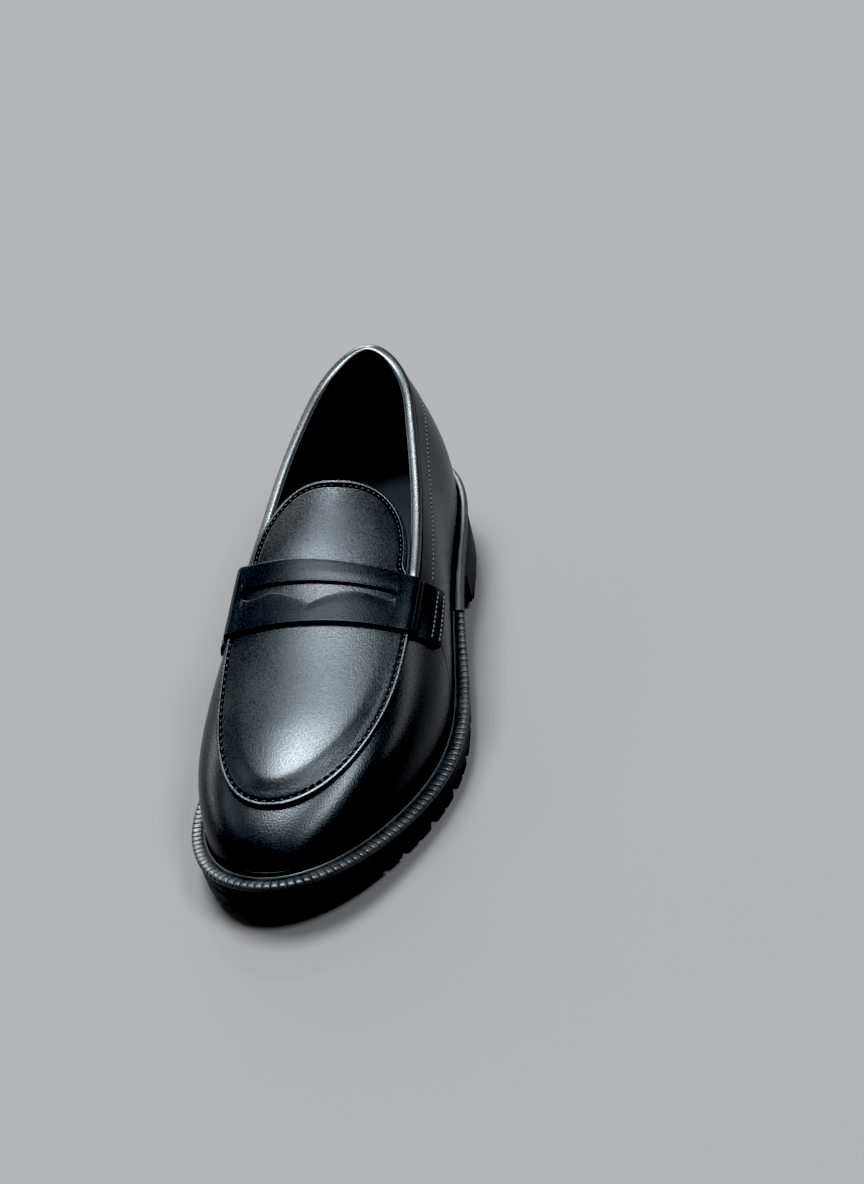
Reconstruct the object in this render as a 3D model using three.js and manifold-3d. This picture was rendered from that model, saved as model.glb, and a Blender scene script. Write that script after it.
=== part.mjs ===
// A lug-soled penny loafer for the left foot, as an assembly of its separate pieces.
// Millimetres, +X to the toe, +Y to the outer side of the foot, +Z up, standing on its lugs at Z = 0.
import * as THREE from "three";
import { mergeVertices } from "three/addons/utils/BufferGeometryUtils.js";
import Module from "manifold-3d";

const wasm = await Module();
wasm.setup();

// ---- Driving dimensions ----
const GAP = 0.3; // clearance between neighbouring pieces
const LUG_DEPTH = 5;
const TREAD_BASE = 3;
const MIDSOLE = 5;
const WELT_THICKNESS = 3.4;
const UPPER = 1.6; // the upper's leather, on the wall and in the margin turned in under the insole
const MARGIN_WIDTH = 9;
const INSOLE = 2.5;
const SOCK = 1.5;
const STIFFENER = 1.1;
const LINING = 1;
const APRON = 1.8;
const OVERHANG = 1; // how far the apron's edge stands out over the vamp
const STRAP = 1.7;
const BACK_STRIP = 1.2;
const BINDING_RADIUS = 2.1;
const THREAD_RADIUS = 0.45;
const SHANK_HALF_WIDTH = 8;
const SHANK = 1.2;
const HEEL_LIFT = 18; // how far the heel seat stands above the ball
const SEAT_X = 45; // the heel seat is level up to here
const BALL_X = 160; // the tread is level from here
const TOE_X = 210; // the toe springs up from here
const TOE_SPRING = 11;
const SOLE_LENGTH = 297;

// Heights of the sole's layers above the tread plane, before the sole's rise is added.
const Z_BASE = LUG_DEPTH;
const Z_MIDSOLE = Z_BASE + TREAD_BASE + GAP;
const Z_WELT = Z_MIDSOLE + MIDSOLE + GAP;
const Z_WELT_TOP = Z_WELT + WELT_THICKNESS;
const Z_INSOLE = Z_WELT + UPPER + GAP;
const Z_SOCK = Z_INSOLE + INSOLE + GAP;

// Depths of the upper's layers below its outer face.
const DEPTH_STIFFENER = UPPER + GAP;
const DEPTH_LINING = DEPTH_STIFFENER + STIFFENER + GAP;
const DEPTH_INSIDE = DEPTH_LINING + LINING;

// Stations round the shoe, from the heel's back along the outer side to the toe tip and back along the inner side.
// sole: the sole's edge in plan. top: the upper's top edge, which is the topline behind the strap and the apron's
// edge in front of it. lean: the wall's slope at that edge, in degrees from level. crown: how far the middle of
// the apron or tongue stands above that edge.
const STATIONS = [
  { sole: [0, 0], top: [6, 0, 98], lean: 74, crown: 12 },
  { sole: [12.5, 26.5], top: [20.5, 17.5, 92], lean: 70, crown: 12 },
  { sole: [45, 39.5], top: [49.5, 26, 87], lean: 68, crown: 12 },
  { sole: [84, 43], top: [82, 32.5, 83], lean: 70, crown: 12 },
  { sole: [119, 47.5], top: [115, 38, 79.5], lean: 68, crown: 10.5 },
  { sole: [155, 54], top: [148, 41, 75], lean: 62, crown: 8 },
  { sole: [190, 57], top: [179.2, 40.9, 69.4], lean: 52, crown: 6.2 },
  { sole: [223, 51.5], top: [209.9, 38.7, 62.9], lean: 44, crown: 5.5 },
  { sole: [256, 38], top: [238, 30.1, 56.7], lean: 36, crown: 4.8 },
  { sole: [283.5, 19], top: [258.9, 14.7, 51.2], lean: 31, crown: 3.2 },
  { sole: [296.5, -6], top: [268.2, -5, 48.8], lean: 29, crown: 0 },
  { sole: [288.5, -31], top: [261.4, -23.8, 50.7], lean: 31, crown: 3.2 },
  { sole: [267.5, -46.5], top: [239, -33.9, 57.2], lean: 36, crown: 4.8 },
  { sole: [238.5, -54], top: [210.9, -37.3, 63.4], lean: 44, crown: 5.5 },
  { sole: [200, -52.5], top: [181.2, -37.6, 70.4], lean: 52, crown: 6.2 },
  { sole: [160, -42], top: [150, -36, 76.5], lean: 62, crown: 8 },
  { sole: [120, -35], top: [117, -33.5, 80.5], lean: 70, crown: 10.5 },
  { sole: [80, -35.5], top: [80, -31.5, 83.5], lean: 76, crown: 12 },
  { sole: [42, -37.5], top: [47, -27, 87.5], lean: 74, crown: 12 },
  { sole: [12, -26], top: [19.5, -18.5, 93], lean: 70, crown: 12 },
];
const AROUND = STATIONS.length;
const TOE = AROUND / 2; // the station at the toe tip
const FEATHER_LEAN = 83; // the wall's slope where it leaves the welt
const WALL_HANDLE = 0.4; // Bezier handles, as a share of the wall's span
const TOE_TURN = 0.35; // how much sooner the wall turns down below the apron's edge at the toe

// Where the pieces of the upper end. Stations are those of the outer side; the inner side mirrors them.
const TONGUE_TOP = 3.6;
const TONGUE_BEND = 4.9; // the tongue's round top starts here
const TONGUE_OUTER = 0.87; // the tongue's half widths, as shares of the opening's
const TONGUE_INNER = 0.94;
const TONGUE_LIFT = 3.4; // the tongue's inner side rides this much higher, over the binding
const TONGUE_ROUND = 2.9; // how square the tongue's top is: 2 is an ellipse
const LIFT_FADE = [4.77, 5.15]; // the tongue comes down off the binding between these stations
const APRON_FULL = 5.4; // from here the apron reaches out over the whole top edge
const BINDING_END = 4.92;
const STRAP_BACK = 5.0;
const STRAP_FRONT = 6.05;
const STRAP_BACK_SKEW = 0.14; // how far forward of its middle each edge of the strap is at the outer side
const STRAP_FRONT_SKEW = 0.05;
const STRAP_END = 0.7; // how far up the wall the strap's ends are sewn
const STRAP_SLANT = 1.35; // how far the strap leans back down the wall, in stations per wall share
const STRAP_FLARE = 0.2; // how much less its front edge leans
const VAMP_START = 5.55;
const COLLAR_SHARE = 0.79; // how far up the wall the collar is sewn, and how much higher along the sides
const COLLAR_RISE = 0.05;
const COUNTER_END = 2.7;
const PUFF_START = 7.7;
const HEEL_END = 2.82;
const SHANK_FROM = 1.75;
const SHANK_TO = 4.75;
const CORK_START = 5;
const FOAM_END = 1.6;
const RAND_END = 3.7; // the smooth rand gives way to the ribbed welt
const SEAM_GAP = 0.02;
const TOPLINE_TRIM = 0.962; // the quarters end here, under the binding

// ---- Curves that every piece follows ----
// A closed curve through points, with curvature that runs on smoothly: each slope balances its neighbours'.
function closedCurve(points) {
  const count = points.length;
  const slopes = points.map(() => new THREE.Vector3());
  for (let pass = 0; pass < 40; pass++) {
    slopes.forEach((slope, i) => {
      const [before, after] = [(i + count - 1) % count, (i + 1) % count];
      slope.copy(points[after]).sub(points[before]).multiplyScalar(3)
        .sub(slopes[before]).sub(slopes[after]).divideScalar(4);
    });
  }
  return { points, slopes };
}

// The point of a closed curve at station u, on the cubic between two of its points.
function at({ points, slopes }, u) {
  const wrapped = ((u % AROUND) + AROUND) % AROUND;
  const i = Math.floor(wrapped) % AROUND;
  const next = (i + 1) % AROUND;
  const t = wrapped - i;
  const back = 1 - t;
  return new THREE.Vector3()
    .addScaledVector(points[i], (1 + 2 * t) * back * back)
    .addScaledVector(slopes[i], t * back * back)
    .addScaledVector(points[next], t * t * (3 - 2 * t))
    .addScaledVector(slopes[next], -t * t * back);
}

const soleCurve = closedCurve(STATIONS.map((s) => new THREE.Vector3(...s.sole, 0)));
const topCurve = closedCurve(STATIONS.map((s) => new THREE.Vector3(...s.top)));
const shapeCurve = closedCurve(STATIONS.map((s) => new THREE.Vector3(s.lean, s.crown, 0)));

function smooth(from, to, x) {
  return THREE.MathUtils.smoothstep(x, from, to);
}

function range(from, to, steps) {
  return Array.from({ length: steps + 1 }, (_, i) => from + ((to - from) * i) / steps);
}

// How far the whole sole stands up at x: level under the heel, down to the ball, and up again at the toe.
function rise(x) {
  const heel = HEEL_LIFT * (1 - smooth(SEAT_X, BALL_X, x));
  const toe = TOE_SPRING * Math.pow(Math.max(x - TOE_X, 0) / (SOLE_LENGTH - TOE_X), 1.7);
  return heel + toe;
}

// The level direction that points out of the shoe, square to a curve at station u.
function outward(curve, u) {
  const step = 0.02;
  const along = at(curve, u + step).sub(at(curve, u - step));
  return new THREE.Vector3(-along.y, along.x, 0).normalize();
}

// The sole's edge at station u, moved inwards, at a height above the tread plane.
function edge(u, inset, height) {
  const p = at(soleCurve, u).addScaledVector(outward(soleCurve, u), -inset);
  p.z = height + rise(p.x);
  return p;
}

function weltWidth(u) {
  return 4.5 + 3 * smooth(60, 160, at(soleCurve, u).x);
}

// The upper's outer face: v = 0 on the midsole, v = 1 at the top edge, which lies under the apron at the front.
function wall(u, v) {
  const foot = edge(u, weltWidth(u), Z_WELT);
  const top = at(topCurve, u);
  const fromHeel = Math.min(Math.abs(u), Math.abs(AROUND - u));
  top.z -= (APRON + GAP) * smooth(BINDING_END, VAMP_START, fromHeel);
  const out = outward(soleCurve, u);
  const lean = THREE.MathUtils.degToRad(at(shapeCurve, u).x);
  const feather = THREE.MathUtils.degToRad(FEATHER_LEAN);
  const handle = foot.distanceTo(top) * WALL_HANDLE;
  const low = foot.clone().addScaledVector(out, handle * Math.cos(feather));
  low.z += handle * Math.sin(feather);
  const turnIn = 1 - TOE_TURN * smooth(7, 9.5, fromHeel);
  const high = top.clone().addScaledVector(out, handle * turnIn * Math.cos(lean));
  high.z -= handle * turnIn * Math.sin(lean);
  return new THREE.CubicBezierCurve3(foot, low, high, top).getPoint(v);
}

// The same face moved inwards along its normal.
function layer(u, v, depth) {
  const step = 0.01;
  const up = wall(u, Math.min(v + step, 1)).sub(wall(u, Math.max(v - step, 0)));
  const along = wall(u + step, v).sub(wall(u - step, v));
  return wall(u, v).addScaledVector(along.cross(up).normalize(), depth);
}

// The share of the wall at which it reaches a height above the tread plane.
function shareAt(u, height) {
  return range(0, 0.4, 80).find((v) => {
    const p = wall(u, v);
    return p.z - rise(p.x) >= height;
  });
}

// How much the tongue's inner side rises to ride over the binding.
function overBinding(u, r) {
  return TONGUE_LIFT * smooth(-0.4, TONGUE_INNER, -r) * (1 - smooth(...LIFT_FADE, u));
}

// The apron's top face between opposite stations: r = 1 on the outer side's edge, -1 on the inner side's.
function crown(u, r, lift) {
  const p = at(topCurve, AROUND - u).lerp(at(topCurve, u), (1 + r) / 2);
  p.z += at(shapeCurve, u).y * (1 - r * r) + overBinding(u, r) + lift;
  return p;
}

// The point of the apron's top face at a plan position.
function crownAt(x, y, lift) {
  let [back, front] = [TONGUE_TOP, TOE];
  let r = 0;
  for (let i = 0; i < 20; i++) {
    const u = (back + front) / 2;
    const outer = at(topCurve, u);
    const inner = at(topCurve, AROUND - u);
    const t = (y - inner.y) / (outer.y - inner.y);
    r = THREE.MathUtils.clamp(2 * t - 1, -1, 1);
    if (inner.x + t * (outer.x - inner.x) < x) back = u;
    else front = u;
  }
  return crown(back, r, lift);
}

// ---- Solids from sections ----
// A closed body from triangles; collapsed ones are dropped, and the body is turned to face out.
function body(triangles) {
  const kept = triangles.filter(([a, b, c]) =>
    [a.distanceTo(b), b.distanceTo(c), c.distanceTo(a)].every((side) => side > 1e-3));
  const volume = kept.reduce((sum, [a, b, c]) => sum + a.dot(b.clone().cross(c)), 0);
  const points = kept.flatMap(([a, b, c]) => (volume < 0 ? [a, c, b] : [a, b, c]));
  return new THREE.BufferGeometry().setFromPoints(points);
}

function quad(a, b, c, d) {
  return [[a, b, c], [a, c, d]];
}

// Joins sections of equal count in order; each end is closed by strips across its section.
function loft(sections) {
  const count = sections[0].length;
  const triangles = [];
  for (let i = 0; i + 1 < sections.length; i++) {
    const [a, b] = [sections[i], sections[i + 1]];
    for (let j = 0; j < count; j++) {
      const k = (j + 1) % count;
      triangles.push(...quad(a[j], a[k], b[k], b[j]));
    }
  }
  for (const [end, flip] of [[sections[0], true], [sections.at(-1), false]]) {
    for (let j = 0; j < count / 2 - 1; j++) {
      const k = count - 1 - j;
      const strip = [end[j], end[j + 1], end[k - 1], end[k]];
      triangles.push(...quad(...(flip ? strip.reverse() : strip)));
    }
  }
  return body(triangles);
}

// A sheet of the upper between two depths; shares(u) gives the wall shares from its lower to its upper edge.
function sheet(us, shares, outerDepth, innerDepth) {
  return loft(us.map((u) => {
    const vs = shares(u);
    return [...vs.map((v) => layer(u, v, outerDepth)), ...vs.map((v) => layer(u, v, innerDepth)).reverse()];
  }));
}

// A piece of the upper's outer leather, with its lasting margin turned in on the midsole.
function lastedSheet(us, vs) {
  return loft(us.map((u) => {
    const width = weltWidth(u);
    const outer = [edge(u, width + MARGIN_WIDTH, Z_WELT), ...vs.map((v) => layer(u, v, 0))];
    const inner = [edge(u, width + UPPER, Z_WELT + UPPER), ...vs.slice(1).map((v) => layer(u, v, UPPER))];
    inner.unshift(edge(u, width + MARGIN_WIDTH, Z_WELT + UPPER));
    outer.splice(1, 0, edge(u, width + UPPER, Z_WELT));
    return [...outer, ...inner.reverse()];
  }));
}

// A layer of the sole from edge to edge, between two stations and two heights.
function slab(us, insetAt, low, high) {
  return loft(us.map((u) => {
    const opposite = AROUND - u;
    return [
      edge(u, insetAt(u), low),
      edge(u, insetAt(u), high),
      edge(opposite, insetAt(opposite), high),
      edge(opposite, insetAt(opposite), low),
    ];
  }));
}

function thread(points) {
  const sides = 4;
  const round = new THREE.Shape();
  for (const a of range(0, 2 * Math.PI, sides).slice(0, sides)) {
    const corner = [THREAD_RADIUS * Math.cos(a), THREAD_RADIUS * Math.sin(a)];
    if (a === 0) round.moveTo(...corner);
    else round.lineTo(...corner);
  }
  const extrudePath = new THREE.CatmullRomCurve3(points);
  return new THREE.ExtrudeGeometry(round, { steps: points.length - 1, extrudePath, bevelEnabled: false });
}

// A plan outline drawn up between two heights, which follow the sole's rise where asked.
function prism(outline, low, high, followsSole = true) {
  const point = ([x, y], z) => new THREE.Vector3(x, y, z + (followsSole ? rise(x) : 0));
  const triangles = [];
  const flat = outline.map((p) => new THREE.Vector2(...p));
  if (THREE.ShapeUtils.isClockWise(flat)) return prism([...outline].reverse(), low, high, followsSole);
  const faces = THREE.ShapeUtils.triangulateShape(flat, []);
  for (const [a, b, c] of faces.map((face) => face.map((i) => outline[i]))) {
    triangles.push([point(a, high), point(b, high), point(c, high)]);
    triangles.push([point(a, low), point(c, low), point(b, low)]);
  }
  outline.forEach((p, i) => {
    const q = outline[(i + 1) % outline.length];
    triangles.push(...quad(point(p, low), point(q, low), point(q, high), point(p, high)));
  });
  return body(triangles);
}

// ---- Cuts and joins ----
function toManifold(geometry) {
  const bare = geometry.clone();
  bare.deleteAttribute("normal");
  bare.deleteAttribute("uv");
  const merged = mergeVertices(bare, 1e-4);
  return new wasm.Manifold(new wasm.Mesh({
    numProp: 3,
    vertProperties: merged.attributes.position.array,
    triVerts: new Uint32Array(merged.index.array),
  }));
}

function toGeometry(manifold) {
  const mesh = manifold.getMesh();
  return new THREE.BufferGeometry()
    .setAttribute("position", new THREE.BufferAttribute(new Float32Array(mesh.vertProperties), 3))
    .setIndex(new THREE.BufferAttribute(new Uint32Array(mesh.triVerts), 1));
}

// ---- The sole ----
const LUG_SPACING = 0.5; // in stations
const LUG_FACE = 0.4; // the lugs' outer ends lie this far inside the sole's edge
const FIRST_LUG = 4.75; // the forepart's lugs run from here round the toe
const LAST_HEEL_LUG = 2.5;
const RIB_DEPTH = 0.6;
const BEAD_RISE = 0.8;

// One edge lug in plan: a wide head at the sole's edge, and a narrower tail behind it.
function edgeLug(u) {
  const corners = [
    [-0.19, LUG_FACE], [0.19, LUG_FACE], [0.18, 12], [0.12, 12],
    [0.11, 22], [-0.11, 22], [-0.12, 12], [-0.18, 12],
  ];
  return corners.map(([along, inset]) => edge(u + along, inset, 0)).map((p) => [p.x, p.y]);
}

function crossStud([x, y]) {
  const reach = 7;
  const half = 2.2;
  const outline = [];
  for (const [c, s] of [[1, 0], [0, 1], [-1, 0], [0, -1]]) {
    for (const [along, side] of [[half, -half], [reach, -half], [reach, half]]) {
      outline.push([x + along * c - side * s, y + along * s + side * c]);
    }
  }
  return outline;
}

function outsole() {
  const lugCount = 22;
  const studs = [[150, 8], [171, -10], [176, 16], [198, 2], [219, -14], [222, 13], [243, -3]];
  const lugs = range(FIRST_LUG, FIRST_LUG + lugCount * LUG_SPACING, lugCount).map(edgeLug);
  return [...lugs, ...studs.map(crossStud)]
    .map((outline) => toManifold(prism(outline, 0, Z_BASE + 1)))
    .reduce((sum, lug) => sum.add(lug), toManifold(slab(range(0, TOE, 40), () => 0.6, Z_BASE, Z_BASE + TREAD_BASE)));
}

function heelBlock() {
  const inset = 0.8;
  const lugs = range(-LAST_HEEL_LUG, LAST_HEEL_LUG, (2 * LAST_HEEL_LUG) / LUG_SPACING).map(edgeLug);
  const breastBar = [[63, -22], [70, -22], [70, 24], [63, 24]];
  const block = loft(range(0, HEEL_END, 12).map((u) => {
    const [outer, inner] = [edge(u, inset, Z_BASE - GAP), edge(AROUND - u, inset, Z_BASE - GAP)];
    return [outer.clone().setZ(LUG_DEPTH), outer, inner, inner.clone().setZ(LUG_DEPTH)];
  }));
  return [...lugs, crossStud([32, 0]), crossStud([50, 0]), breastBar]
    .map((outline) => toManifold(prism(outline, 0, LUG_DEPTH + 1, false)))
    .reduce((sum, lug) => sum.add(lug), toManifold(block));
}

function midsole() {
  return slab(range(0, TOE, 40), () => 0.9, Z_MIDSOLE, Z_MIDSOLE + MIDSOLE);
}

// The welt: a ribbed ledge outside, a groove, and a bead against the upper.
function welt() {
  return loft(range(RAND_END + SEAM_GAP, AROUND - RAND_END - SEAM_GAP, 60).map((u, i) => {
    const width = weltWidth(u);
    const ribTop = Z_WELT_TOP - (i % 2 ? RIB_DEPTH : 0);
    return [
      edge(u, 0.4, Z_WELT), edge(u, 0, Z_WELT_TOP - 1), edge(u, 0.6, ribTop), edge(u, width - 3.2, ribTop),
      edge(u, width - 2.8, Z_WELT_TOP - BEAD_RISE), edge(u, width - 2.5, Z_WELT_TOP + BEAD_RISE),
      edge(u, width - 1.2, Z_WELT_TOP + BEAD_RISE), edge(u, width - GAP, Z_WELT),
    ];
  }));
}

function heelRand() {
  return loft(range(-RAND_END, RAND_END, 36).map((u) => {
    const width = weltWidth(u);
    return [
      edge(u, 0.6, Z_WELT), edge(u, 0.2, Z_WELT_TOP - 1), edge(u, 1.2, Z_WELT_TOP),
      edge(u, width - 1.4, Z_WELT_TOP), edge(u, width - 1, Z_WELT_TOP - 1), edge(u, width - GAP, Z_WELT),
    ];
  }));
}

function shank() {
  const corners = [[-SHANK_HALF_WIDTH, 0], [-SHANK_HALF_WIDTH, SHANK], [SHANK_HALF_WIDTH, SHANK],
    [SHANK_HALF_WIDTH, 0]];
  return loft(range(SHANK_FROM, SHANK_TO, 10).map((u) => {
    const middle = edge(u, 0, Z_WELT).lerp(edge(AROUND - u, 0, Z_WELT), 0.5);
    return corners.map(([y, z]) => middle.clone().add(new THREE.Vector3(0, y, z)));
  }));
}

// A layer that fills the space inside the lasting margin.
function filler(us) {
  return slab(us, (u) => weltWidth(u) + MARGIN_WIDTH + GAP, Z_WELT, Z_WELT + UPPER);
}

// The upper leans in over the toe, so the insole and sock stop this much shorter there.
function toeRoom(u, most) {
  return most * smooth(7, TOE, Math.min(u, AROUND - u));
}

function insoleBoard() {
  return slab(range(0, TOE, 30), (u) => weltWidth(u) + UPPER + GAP + toeRoom(u, 3.2), Z_INSOLE, Z_INSOLE + INSOLE);
}

function sockLiner() {
  return slab(range(0, TOE, 30), (u) => weltWidth(u) + DEPTH_INSIDE + GAP + toeRoom(u, 4), Z_SOCK, Z_SOCK + SOCK);
}

// ---- The upper ----
const WALL_SHARES = [0, 0.1, 0.25, 0.42, 0.6, 0.78, 0.92];

function vamp() {
  return lastedSheet(range(VAMP_START, AROUND - VAMP_START, 32), [...WALL_SHARES, 1]);
}

function quarter(side) {
  return lastedSheet(range(SEAM_GAP * side, (VAMP_START - 2 * SEAM_GAP) * side, 20), [...WALL_SHARES, TOPLINE_TRIM]);
}

// The inner layers stand on the insole board, with more room where the wall leans.
function innerShares(top) {
  return (u) => range(shareAt(u, Z_SOCK + GAP + toeRoom(u, 0.8)), top, 4);
}

function heelCounter() {
  const shares = (u) => range(shareAt(u, Z_SOCK), 0.72 - 0.25 * smooth(0.5, 1, Math.abs(u) / COUNTER_END), 4);
  return sheet(range(-COUNTER_END, COUNTER_END, 24), shares, DEPTH_STIFFENER, DEPTH_STIFFENER + STIFFENER);
}

function toePuff() {
  const us = range(PUFF_START, AROUND - PUFF_START, 18);
  return sheet(us, innerShares(0.86), DEPTH_STIFFENER, DEPTH_STIFFENER + STIFFENER);
}

function vampLining() {
  return sheet(range(VAMP_START, AROUND - VAMP_START, 32), innerShares(0.93), DEPTH_LINING, DEPTH_INSIDE);
}

function quarterLining() {
  const end = VAMP_START - 2 * SEAM_GAP;
  return sheet(range(-end, end, 36), innerShares(TOPLINE_TRIM), DEPTH_LINING, DEPTH_INSIDE);
}

function backStrip() {
  const shares = () => range(0.1, TOPLINE_TRIM, 8);
  return sheet(range(-0.24, 0.24, 4), shares, -GAP - BACK_STRIP, -GAP);
}

// The apron's or tongue's half width on one side at a station, as a share of the width between the top edges.
function tongueShare(u, side) {
  const t = THREE.MathUtils.clamp((TONGUE_BEND - u) / (TONGUE_BEND - TONGUE_TOP), 0, 1);
  const round = Math.pow(1 - Math.pow(t, TONGUE_ROUND), 1 / TONGUE_ROUND);
  const share = side > 0 ? TONGUE_OUTER : TONGUE_INNER;
  return round * (share + (1 - share) * smooth(TONGUE_BEND, APRON_FULL, u));
}

const APRON_STATIONS = [TONGUE_TOP, 3.605, 3.63, 3.7, 3.85, 4.1, 4.5, ...range(TONGUE_BEND, TOE, 20)];

function apron() {
  return loft(APRON_STATIONS.map((u) => {
    const reach = OVERHANG * smooth(TONGUE_BEND, APRON_FULL, u);
    const row = (lift) => range(1, -1, 8).map((r) => {
      const toEdge = u < TOE ? Math.pow(Math.abs(r), 8) : 1;
      const side = outward(topCurve, r > 0 ? u : AROUND - u);
      return crown(u, r * tongueShare(u, r), lift).addScaledVector(side, reach * toEdge);
    });
    return [...row(0), ...row(-APRON).reverse()];
  }));
}

function apronLining() {
  const trim = 0.92;
  const top = -APRON - GAP;
  const last = 9.4;
  return loft(APRON_STATIONS.filter((u) => u > 3.61 && u < last).map((u) => {
    const row = (lift) => range(trim, -trim, 6).map((r) => crown(u, r * tongueShare(u, r), lift));
    return [...row(top), ...row(top - LINING).reverse()];
  }));
}

// The station of the strap's width share t, at a share r across the crown and a share v up the wall.
function strapStation(t, r, v = 1) {
  const rear = STRAP_BACK + STRAP_BACK_SKEW * r - (1 - v) * STRAP_SLANT;
  const front = STRAP_FRONT + STRAP_FRONT_SKEW * r - (1 - v) * (STRAP_SLANT - STRAP_FLARE);
  return rear + (front - rear) * t;
}

// The strap's path at a width share: up the outer wall, round the apron's edge, across, and down the inner wall.
function strapPath(t, lift) {
  const side = (sign) => {
    const station = (v) => (sign > 0 ? strapStation(t, 1, v) : AROUND - strapStation(t, -1, v));
    const corner = at(topCurve, station(1)).addScaledVector(outward(topCurve, station(1)), OVERHANG + lift);
    corner.z += lift / 2 + overBinding(strapStation(t, sign), sign);
    return [...[STRAP_END, 0.78, 0.87].map((v) => layer(station(v), v, -lift)), corner];
  };
  const middle = range(0.85, -0.85, 8).map((r) => crown(strapStation(t, r), r, lift));
  const knots = [...side(1), ...middle, ...side(-1).reverse()];
  return new THREE.CatmullRomCurve3(knots, false, "centripetal");
}

// The slot in the strap: a smooth arc behind, and a front edge with two lobes and a point between them.
function strapSlot() {
  const [x, y] = [158, 2];
  const half = 31;
  const bow = 4; // the slot's ends lie this far forward of its middle
  const rear = range(-1, 1, 8).map((t) => [x + bow * t * t, y + half * t]);
  const front = [[1, 3], [0.85, 5.5], [0.5, 5.5], [0.2, 6.5], [0, 10], [-0.2, 6.5], [-0.5, 5.5], [-0.85, 5.5], [-1, 3]]
    .map(([t, depth]) => [x + bow * t * t + depth, y + half * t]);
  return prism([...rear, ...front], 50, 120, false);
}

function strap() {
  const shares = range(0, 1, 6);
  const [high, low] = [2 * GAP + STRAP, 2 * GAP].map((lift) => shares.map((t) => strapPath(t, lift)));
  const band = loft(range(0, 1, 28).map((t) =>
    [...high.map((path) => path.getPoint(t)), ...low.map((path) => path.getPoint(t)).reverse()]));
  return toManifold(band).subtract(toManifold(strapSlot()));
}

function strapStitch(along) {
  const lift = 3 * GAP + STRAP + THREAD_RADIUS;
  return thread(range(0.1, 0.9, 5).map((t) => strapPath(t, lift).getPoint(along)));
}

function apronStitch() {
  const inset = 3.2;
  return thread(range(STRAP_FRONT + 0.1, AROUND - STRAP_FRONT - 0.1, 40).map((u) => {
    const p = at(topCurve, u).addScaledVector(outward(topCurve, u), -inset);
    return crownAt(p.x, p.y, GAP + THREAD_RADIUS);
  }));
}

function tongueStitch() {
  const inset = 0.08;
  return thread(range(-0.96, 0.96, 24).map((s) => {
    const angle = (s * Math.PI) / 2;
    const along = Math.pow(Math.abs(Math.cos(angle)), 2 / TONGUE_ROUND);
    const across = Math.sign(s) * Math.pow(Math.abs(Math.sin(angle)), 2 / TONGUE_ROUND);
    const u = TONGUE_BEND - (TONGUE_BEND - TONGUE_TOP - inset) * along;
    const share = s > 0 ? TONGUE_OUTER : TONGUE_INNER;
    return crown(u, (share - inset) * across, GAP + THREAD_RADIUS);
  }));
}

function collarStitch(side) {
  const share = (u) => COLLAR_SHARE + COLLAR_RISE * smooth(0, 2, u);
  const end = strapStation(0, side, COLLAR_SHARE) - 3 * SEAM_GAP;
  return thread(range(0.4, end, 24).map((u) => layer(u * side, share(u), -GAP - THREAD_RADIUS)));
}

// The rolled binding that caps the quarters and their lining round the opening.
function toplineBinding() {
  const sides = 6;
  return loft(range(-BINDING_END, BINDING_END, 44).map((u) => {
    const middle = layer(u, 1, DEPTH_INSIDE / 2);
    const out = outward(topCurve, u);
    return range(0, 2 * Math.PI, sides).slice(0, sides).map((a) => middle.clone()
      .addScaledVector(out, 1.2 * BINDING_RADIUS * Math.cos(a))
      .add(new THREE.Vector3(0, 0, BINDING_RADIUS * Math.sin(a) + GAP)));
  }));
}

// ---- Materials and assembly ----
const BLACK_LEATHER = { color: 0x16171a, roughness: 0.4 };
const BLACK_LINING = { color: 0x0e0e0f, roughness: 0.75 };
const BLACK_RUBBER = { color: 0x111213, roughness: 0.8 };
const BLACK_THREAD = { color: 0x08080a, roughness: 0.6 };
const FIBRE_BOARD = { color: 0x8a6f4f, roughness: 0.9 };
const CORK = { color: 0xa8845c, roughness: 0.95 };
const FOAM = { color: 0xc9c4b8, roughness: 0.95 };
const SPRING_STEEL = { color: 0x9a9da1, roughness: 0.35, metalness: 1 };

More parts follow.
